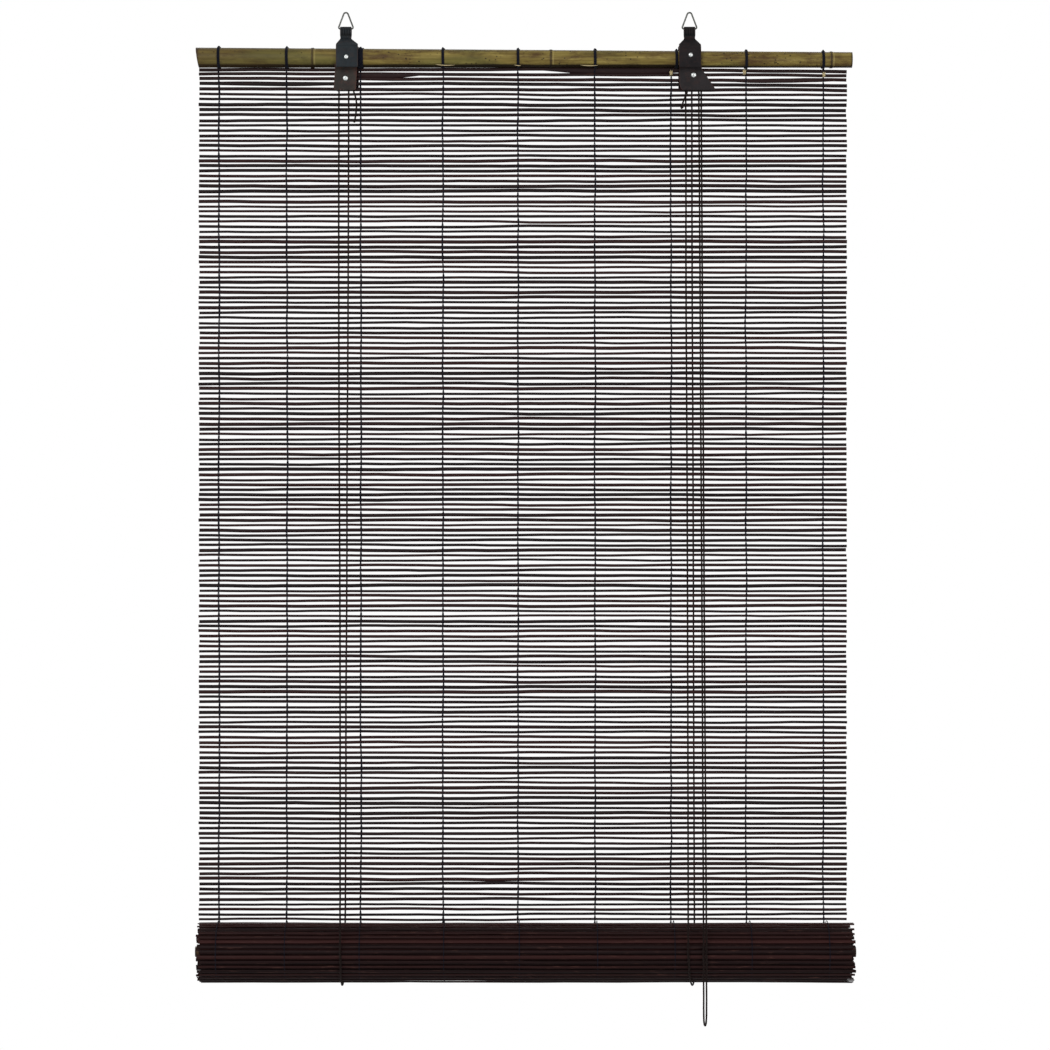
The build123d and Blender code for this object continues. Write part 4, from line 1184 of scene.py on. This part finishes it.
@dataclass
class Rope:
    """A cord of three strands, laid round the smooth line that its route's points control."""

    name: str
    node: str
    route: tuple[Point, ...]
    diameter: float = 1.8
    strands: int = 3
    lay_length: float = 5.6
    step: float = 0.8
    length: float = 0.0

    def centre_line(self) -> list[Vector]:
        """Read the points of the route's smooth line, in metres."""
        curve = bpy.data.curves.new(self.name + "_route", "CURVE")
        curve.dimensions = "3D"
        spline = curve.splines.new("NURBS")
        spline.points.add(len(self.route) - 1)
        for point, spot in zip(spline.points, self.route):
            point.co = (spot[0] * MM, spot[1] * MM, spot[2] * MM, 1.0)
        spline.use_endpoint_u = True
        spline.order_u = 3
        spline.resolution_u = 32
        carrier = mesh_object(self.name + "_route", curve)
        mesh = frozen_mesh(carrier)
        points = [v.co.copy() for v in mesh.vertices]
        bpy.data.objects.remove(carrier)
        bpy.data.meshes.remove(mesh)
        return points

    def even(self, points: list[Vector]) -> list[Vector]:
        """Space the points that were read evenly along their line."""
        runs = [0.0]
        for a, b in zip(points, points[1:]):
            runs.append(runs[-1] + (b - a).length)
        self.length = runs[-1]
        count = max(8, round(self.length / (self.step * MM)))
        spaced, k = [], 0
        for i in range(count + 1):
            at = self.length * i / count
            while k < len(runs) - 2 and runs[k + 1] < at:
                k += 1
            gap = max(runs[k + 1] - runs[k], 1e-12)
            spaced.append(points[k].lerp(points[k + 1], (at - runs[k]) / gap))
        return spaced

    def build(self) -> tuple[bpy.types.Object, list[Vector]]:
        """Lay the strands.

        Returns:
            The cord as one mesh, and the line that it follows.
        """
        line = self.even(self.centre_line())
        strand_r = 0.32 * self.diameter * MM
        reach = self.diameter * MM / 2 - strand_r
        per_point = 2 * math.pi * self.length / (len(line) - 1) / (self.lay_length * MM)
        shape = bmesh.new()
        for strand in range(self.strands):
            start = 2 * math.pi * strand / self.strands
            winding = [spot + (a * math.cos(start + i * per_point) + b * math.sin(start + i * per_point)) * reach
                       for i, (spot, (a, b)) in enumerate(zip(line, frames_along(line)))]
            add_tube(shape, winding, [strand_r] * len(winding), 5)
        piece = piece_from(shape, self.name, CORD)
        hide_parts(self.node)
        return piece, line


@dataclass
class CordSet:
    """All the cords. Each route repeats the CAD route's points, in millimetres.

    Points on a long run stand a little aside of it where the photograph shows the cord wander.
    """

    lane_foot: float = -76.0
    rear_top: float = -62.0
    sling_top: float = -845.0
    loop_top: float = -911.7
    travel: float = 720.0

    def hold(self, rope: Rope, body: Body) -> None:
        """Build a cord that is held along its whole way."""
        piece, _ = rope.build()
        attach(piece, body.value)

    def lift(self, rope: Rope, top: float) -> list[Vector]:
        """Build a cord between the head and the roll, hung from the head with a mesh of its own."""
        piece, line = rope.build()
        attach(piece, Body.HEAD.value)
        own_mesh(piece)
        return line

    def build_held(self) -> None:
        """Build the cords at the pole and the slings under the roll."""
        self.hold(Rope("cross_rope", "cross_cord", (
            (-165.18, -2.71, -76.0), (-165.2, -2.5, -73.1), (-165.2, -2.5, -52.4), (-165.2, -10.64, -47.17),
            (-165.2, -10.64, -30.72), (-165.2, 10.64, -30.72), (-165.2, 10.64, -47.16), (168.4, 9.49, -48.31),
            (168.4, 9.49, -33.03), (168.4, -9.49, -33.03), (168.4, -9.49, -47.38), (168.4, -2.5, -52.4),
            (169.6, -2.5, -73.1), (169.61, -2.71, -76.0))), Body.HEAD)
        self.hold(Rope("turn_rope", "turn_cord", (
            (155.2, -2.71, -76.0), (155.2, -2.5, -73.1), (155.2, -2.5, -52.4), (155.2, -9.52, -47.37),
            (155.2, -9.52, -35.79), (166.3, -9.52, -35.79), (166.3, -9.52, -47.37), (166.3, -2.5, -52.4),
            (167.4, -2.5, -73.1), (167.4, -2.71, -76.0))), Body.HEAD)
        self.hold(Rope("left_sling_rope", "left_roll_sling", (
            (-160.69, -59.32, -845.0), (-160.51, -61.62, -876.19), (-160.15, -39.06, -895.9),
            (-159.7, -9.74, -889.7), (-159.78, 2.4, -863.67), (-159.7, 2.4, -845.0))), Body.SLING)
        self.hold(Rope("right_sling_rope", "right_roll_sling", (
            (154.51, -59.32, -845.0), (154.49, -61.62, -876.19), (159.05, -39.06, -895.9),
            (163.6, -9.74, -889.7), (163.66, 2.4, -863.67), (163.6, 2.4, -845.0))), Body.SLING)

    def build_lifts(self) -> None:
        """Build the lift cords in front of and behind the mat."""
        self.lift(Rope("left_front_rope", "left_front_lift_cord", (
            (-165.18, -2.71, -76.0), (-164.95, -10.66, -184.0), (-163.7, -25.97, -392.0),
            (-162.05, -37.09, -543.0), (-161.05, -51.52, -739.0), (-160.69, -59.32, -845.0))), self.lane_foot)
        self.lift(Rope("right_front_rope", "right_front_lift_cord", (
            (155.2, -2.71, -76.0), (155.45, -5.5, -114.0), (154.7, -15.81, -254.0), (155.2, -25.97, -392.0),
            (154.95, -46.37, -669.0), (154.51, -59.32, -845.0))), self.lane_foot)
        self.lift(Rope("left_rear_rope", "left_rear_lift_cord", (
            (-156.4, 2.4, -62.0), (-157.1, 2.4, -322.0), (-158.05, 2.4, -392.0), (-158.1, 2.4, -530.0),
            (-159.1, 2.4, -634.0), (-159.0, 2.4, -739.0), (-159.7, 2.4, -845.0))), self.rear_top)
        self.lift(Rope("right_rear_rope", "right_rear_lift_cord", (
            (161.2, 2.4, -62.0), (161.35, 2.4, -254.0), (162.3, 2.4, -392.0), (163.15, 2.4, -739.0),
            (163.6, 2.4, -845.0))), self.rear_top)

    def build_pull(self) -> None:
        """Build the pull cord: two strands, their drops in front of the roll, and the loop."""
        self.lift(Rope("pull_rope_inner", "inner_pull_run", (
            (167.4, -2.71, -76.0), (167.9, -18.0, -283.0), (167.85, -26.06, -392.0), (168.25, -37.14, -542.0),
            (168.23, -50.81, -727.0), (168.38, -59.52, -845.0))), self.lane_foot)
        self.lift(Rope("pull_rope_outer", "outer_pull_run", (
            (169.61, -2.71, -76.0), (169.8, -15.86, -254.0), (170.15, -26.06, -392.0), (170.25, -37.14, -542.0),
            (170.7, -50.81, -727.0), (170.97, -59.52, -845.0))), self.lane_foot)
        for name, node, route in (
                ("pull_drop_inner", "inner_pull_drop",
                 ((168.38, -59.52, -845.0), (168.4, -60.8, -862.33), (168.4, -60.8, -911.7))),
                ("pull_drop_outer", "outer_pull_drop",
                 ((170.97, -59.52, -845.0), (171.0, -60.8, -862.33), (171.0, -60.8, -911.7)))):
            rope = Rope(name, node, route)
            piece, line = rope.build()
            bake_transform(piece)
        rope = Rope("pull_loop_rope", "pull_cord_loop", (
            (168.4, -60.8, -911.7), (168.4, -60.8, -926.2), (171.0, -60.8, -926.2), (171.0, -60.8, -911.7)),
            step=0.5)
        piece, line = rope.build()
        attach(piece, Body.LOOP.value)

    def build_tails(self) -> None:
        """Build the short knotted ends that hang from under the flaps."""
        for side, route in (
                (Side.LEFT, ((-153.0, -2.5, -56.4), (-152.5, -2.5, -70.5), (-149.1, -3.7, -79.5),
                             (-148.6, -4.1, -89.5), (-150.4, -3.7, -98.5))),
                (Side.RIGHT, ((157.2, -2.5, -56.4), (157.2, -2.7, -69.0), (156.3, -5.1, -75.0),
                              (153.0, -5.7, -81.0), (151.9, -5.1, -86.0)))):
            rope = Rope(f"{side.value}_tail_rope", f"{side.value}_tail_cord", route, step=0.6)
            piece, line = rope.build()
            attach(piece, Body.HEAD.value)
            shape = bmesh.new()
            along = (line[-1] - line[-2]).normalized()
            add_knot(shape, line[-1] + along * 1.3 * MM, 3.7 * MM, 0.72 * MM, 0.4)
            knot = piece_from(shape, f"{side.value}_overhand_knot", CORD)
            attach(knot, Body.HEAD.value)
            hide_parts(f"{side.value}_tail_knot")

    def build(self) -> None:
        """Build every cord."""
        self.build_held()
        self.build_lifts()
        self.build_pull()
        self.build_tails()
        LOG.info("cords: 4 held, 4 lift cords, 5 of the pull cord, 2 tails")


class Studio:
    """The pale floor, the soft light and the camera at the photograph's angle."""

    scale: float = 0.925
    distance: float = 2.775
    # the photograph's pixel that is x = 0 and z = 0, and its size
    zero: tuple[float, float] = (517.7, 13.5)
    pixels: float = 1050.0

    def build(self) -> None:
        """Set the stage."""
        scene = bpy.context.scene
        scene.view_settings.view_transform = "Standard"
        lens = bpy.data.cameras.new("camera")
        lens.sensor_width = 36.0
        lens.lens = lens.sensor_width * self.distance / (self.pixels * self.scale * MM)
        lens.clip_end = 50.0
        camera = bpy.data.objects.new("camera", lens)
        camera.location = ((self.pixels / 2 - self.zero[0]) * self.scale * MM, -self.distance,
                           (self.zero[1] - self.pixels / 2) * self.scale * MM)
        camera.rotation_euler = (math.pi / 2, 0, 0)
        scene.collection.objects.link(camera)
        scene.camera = camera
        self.world(scene)
        for name, place, size, power in (("key", (-1.3, -2.6, 0.7), 1.6, 46), ("fill", (1.7, -2.2, -0.1), 1.8, 25),
                                         ("back", (0.2, 2.4, 0.5), 2.0, 22)):
            light = bpy.data.lights.new(name, "AREA")
            light.size = size
            light.energy = power
            lamp = bpy.data.objects.new(name, light)
            lamp.location = place
            lamp.rotation_euler = (Vector((0, 0, -0.45)) - Vector(place)).to_track_quat("-Z", "Y").to_euler()
            scene.collection.objects.link(lamp)
        self.floor()

    def world(self, scene: bpy.types.Scene) -> None:
        """Give an even soft light, and white where the camera or a reflection sees past the object."""
        world = bpy.data.worlds.new("studio")
        world.use_nodes = True
        scene.world = world
        tree = world.node_tree
        tree.nodes.clear()
        rays = add_node(tree, "ShaderNodeLightPath")
        seen = add_node(tree, "ShaderNodeMath", {0: rays.outputs["Is Camera Ray"], 1: rays.outputs["Is Glossy Ray"]},
                        operation="MAXIMUM")
        seen = add_node(tree, "ShaderNodeMath", {0: seen.outputs[0], 1: rays.outputs["Is Transmission Ray"]},
                        operation="MAXIMUM")
        soft = add_node(tree, "ShaderNodeBackground", {"Color": linear("#f4f6f8"), "Strength": 0.38})
        white = add_node(tree, "ShaderNodeBackground", {"Color": (1, 1, 1, 1), "Strength": 1.0})
        mixed = add_node(tree, "ShaderNodeMixShader", {0: seen.outputs[0], 1: soft.outputs[0], 2: white.outputs[0]})
        add_node(tree, "ShaderNodeOutputWorld", {"Surface": mixed.outputs[0]})

    def floor(self) -> None:
        """Lay a plain pale floor well below the blind."""
        mesh = bpy.data.meshes.new("floor")
        mesh.from_pydata([(-2.2, -2.2, -1.6), (2.2, -2.2, -1.6), (2.2, 2.2, -1.6), (-2.2, 2.2, -1.6)], [],
                         [(0, 1, 2, 3)])
        floor = mesh_object("floor", mesh)
        paint = bpy.data.materials.new("pale_floor")
        paint.use_nodes = True
        paint.node_tree.nodes["Principled BSDF"].inputs["Base Color"].default_value = linear("#ececec")
        paint.node_tree.nodes["Principled BSDF"].inputs["Roughness"].default_value = 0.9
        mesh.materials.append(paint)


def main() -> None:
    """Build the blind, piece by piece."""
    logging.basicConfig(level=logging.INFO, format="%(name)s: %(message)s")
    Studio().build()
    CordSet().build()
    pole = HeadPole()
    mat = ReedMat()
    mat.build()
    mat.build_fibres()
    ReedRoll().build()
    pole.build()
    left = Hanger(Side.LEFT, -158.9, 1.6, (-157.9, -42.0), (-159.0, -60.4), pole)
    right = Hanger(Side.RIGHT, 158.9, 0.0, (159.4, -40.1), (162.5, -57.5), pole)
    for hanger in (left, right):
        hanger.build()
    RivetPair("upper_rivet_domes", "upper_rivets", 2.15, tuple(
        (*h.upper_rivet, h.leg + 0.6, h.leg + 0.6) for h in (left, right))).build()
    RivetPair("lower_rivet_domes", "lower_rivets", 2.55, tuple(
        (*h.lower_rivet, 4.65, 4.55) for h in (left, right))).build()


if __name__ == "__main__":
    main()
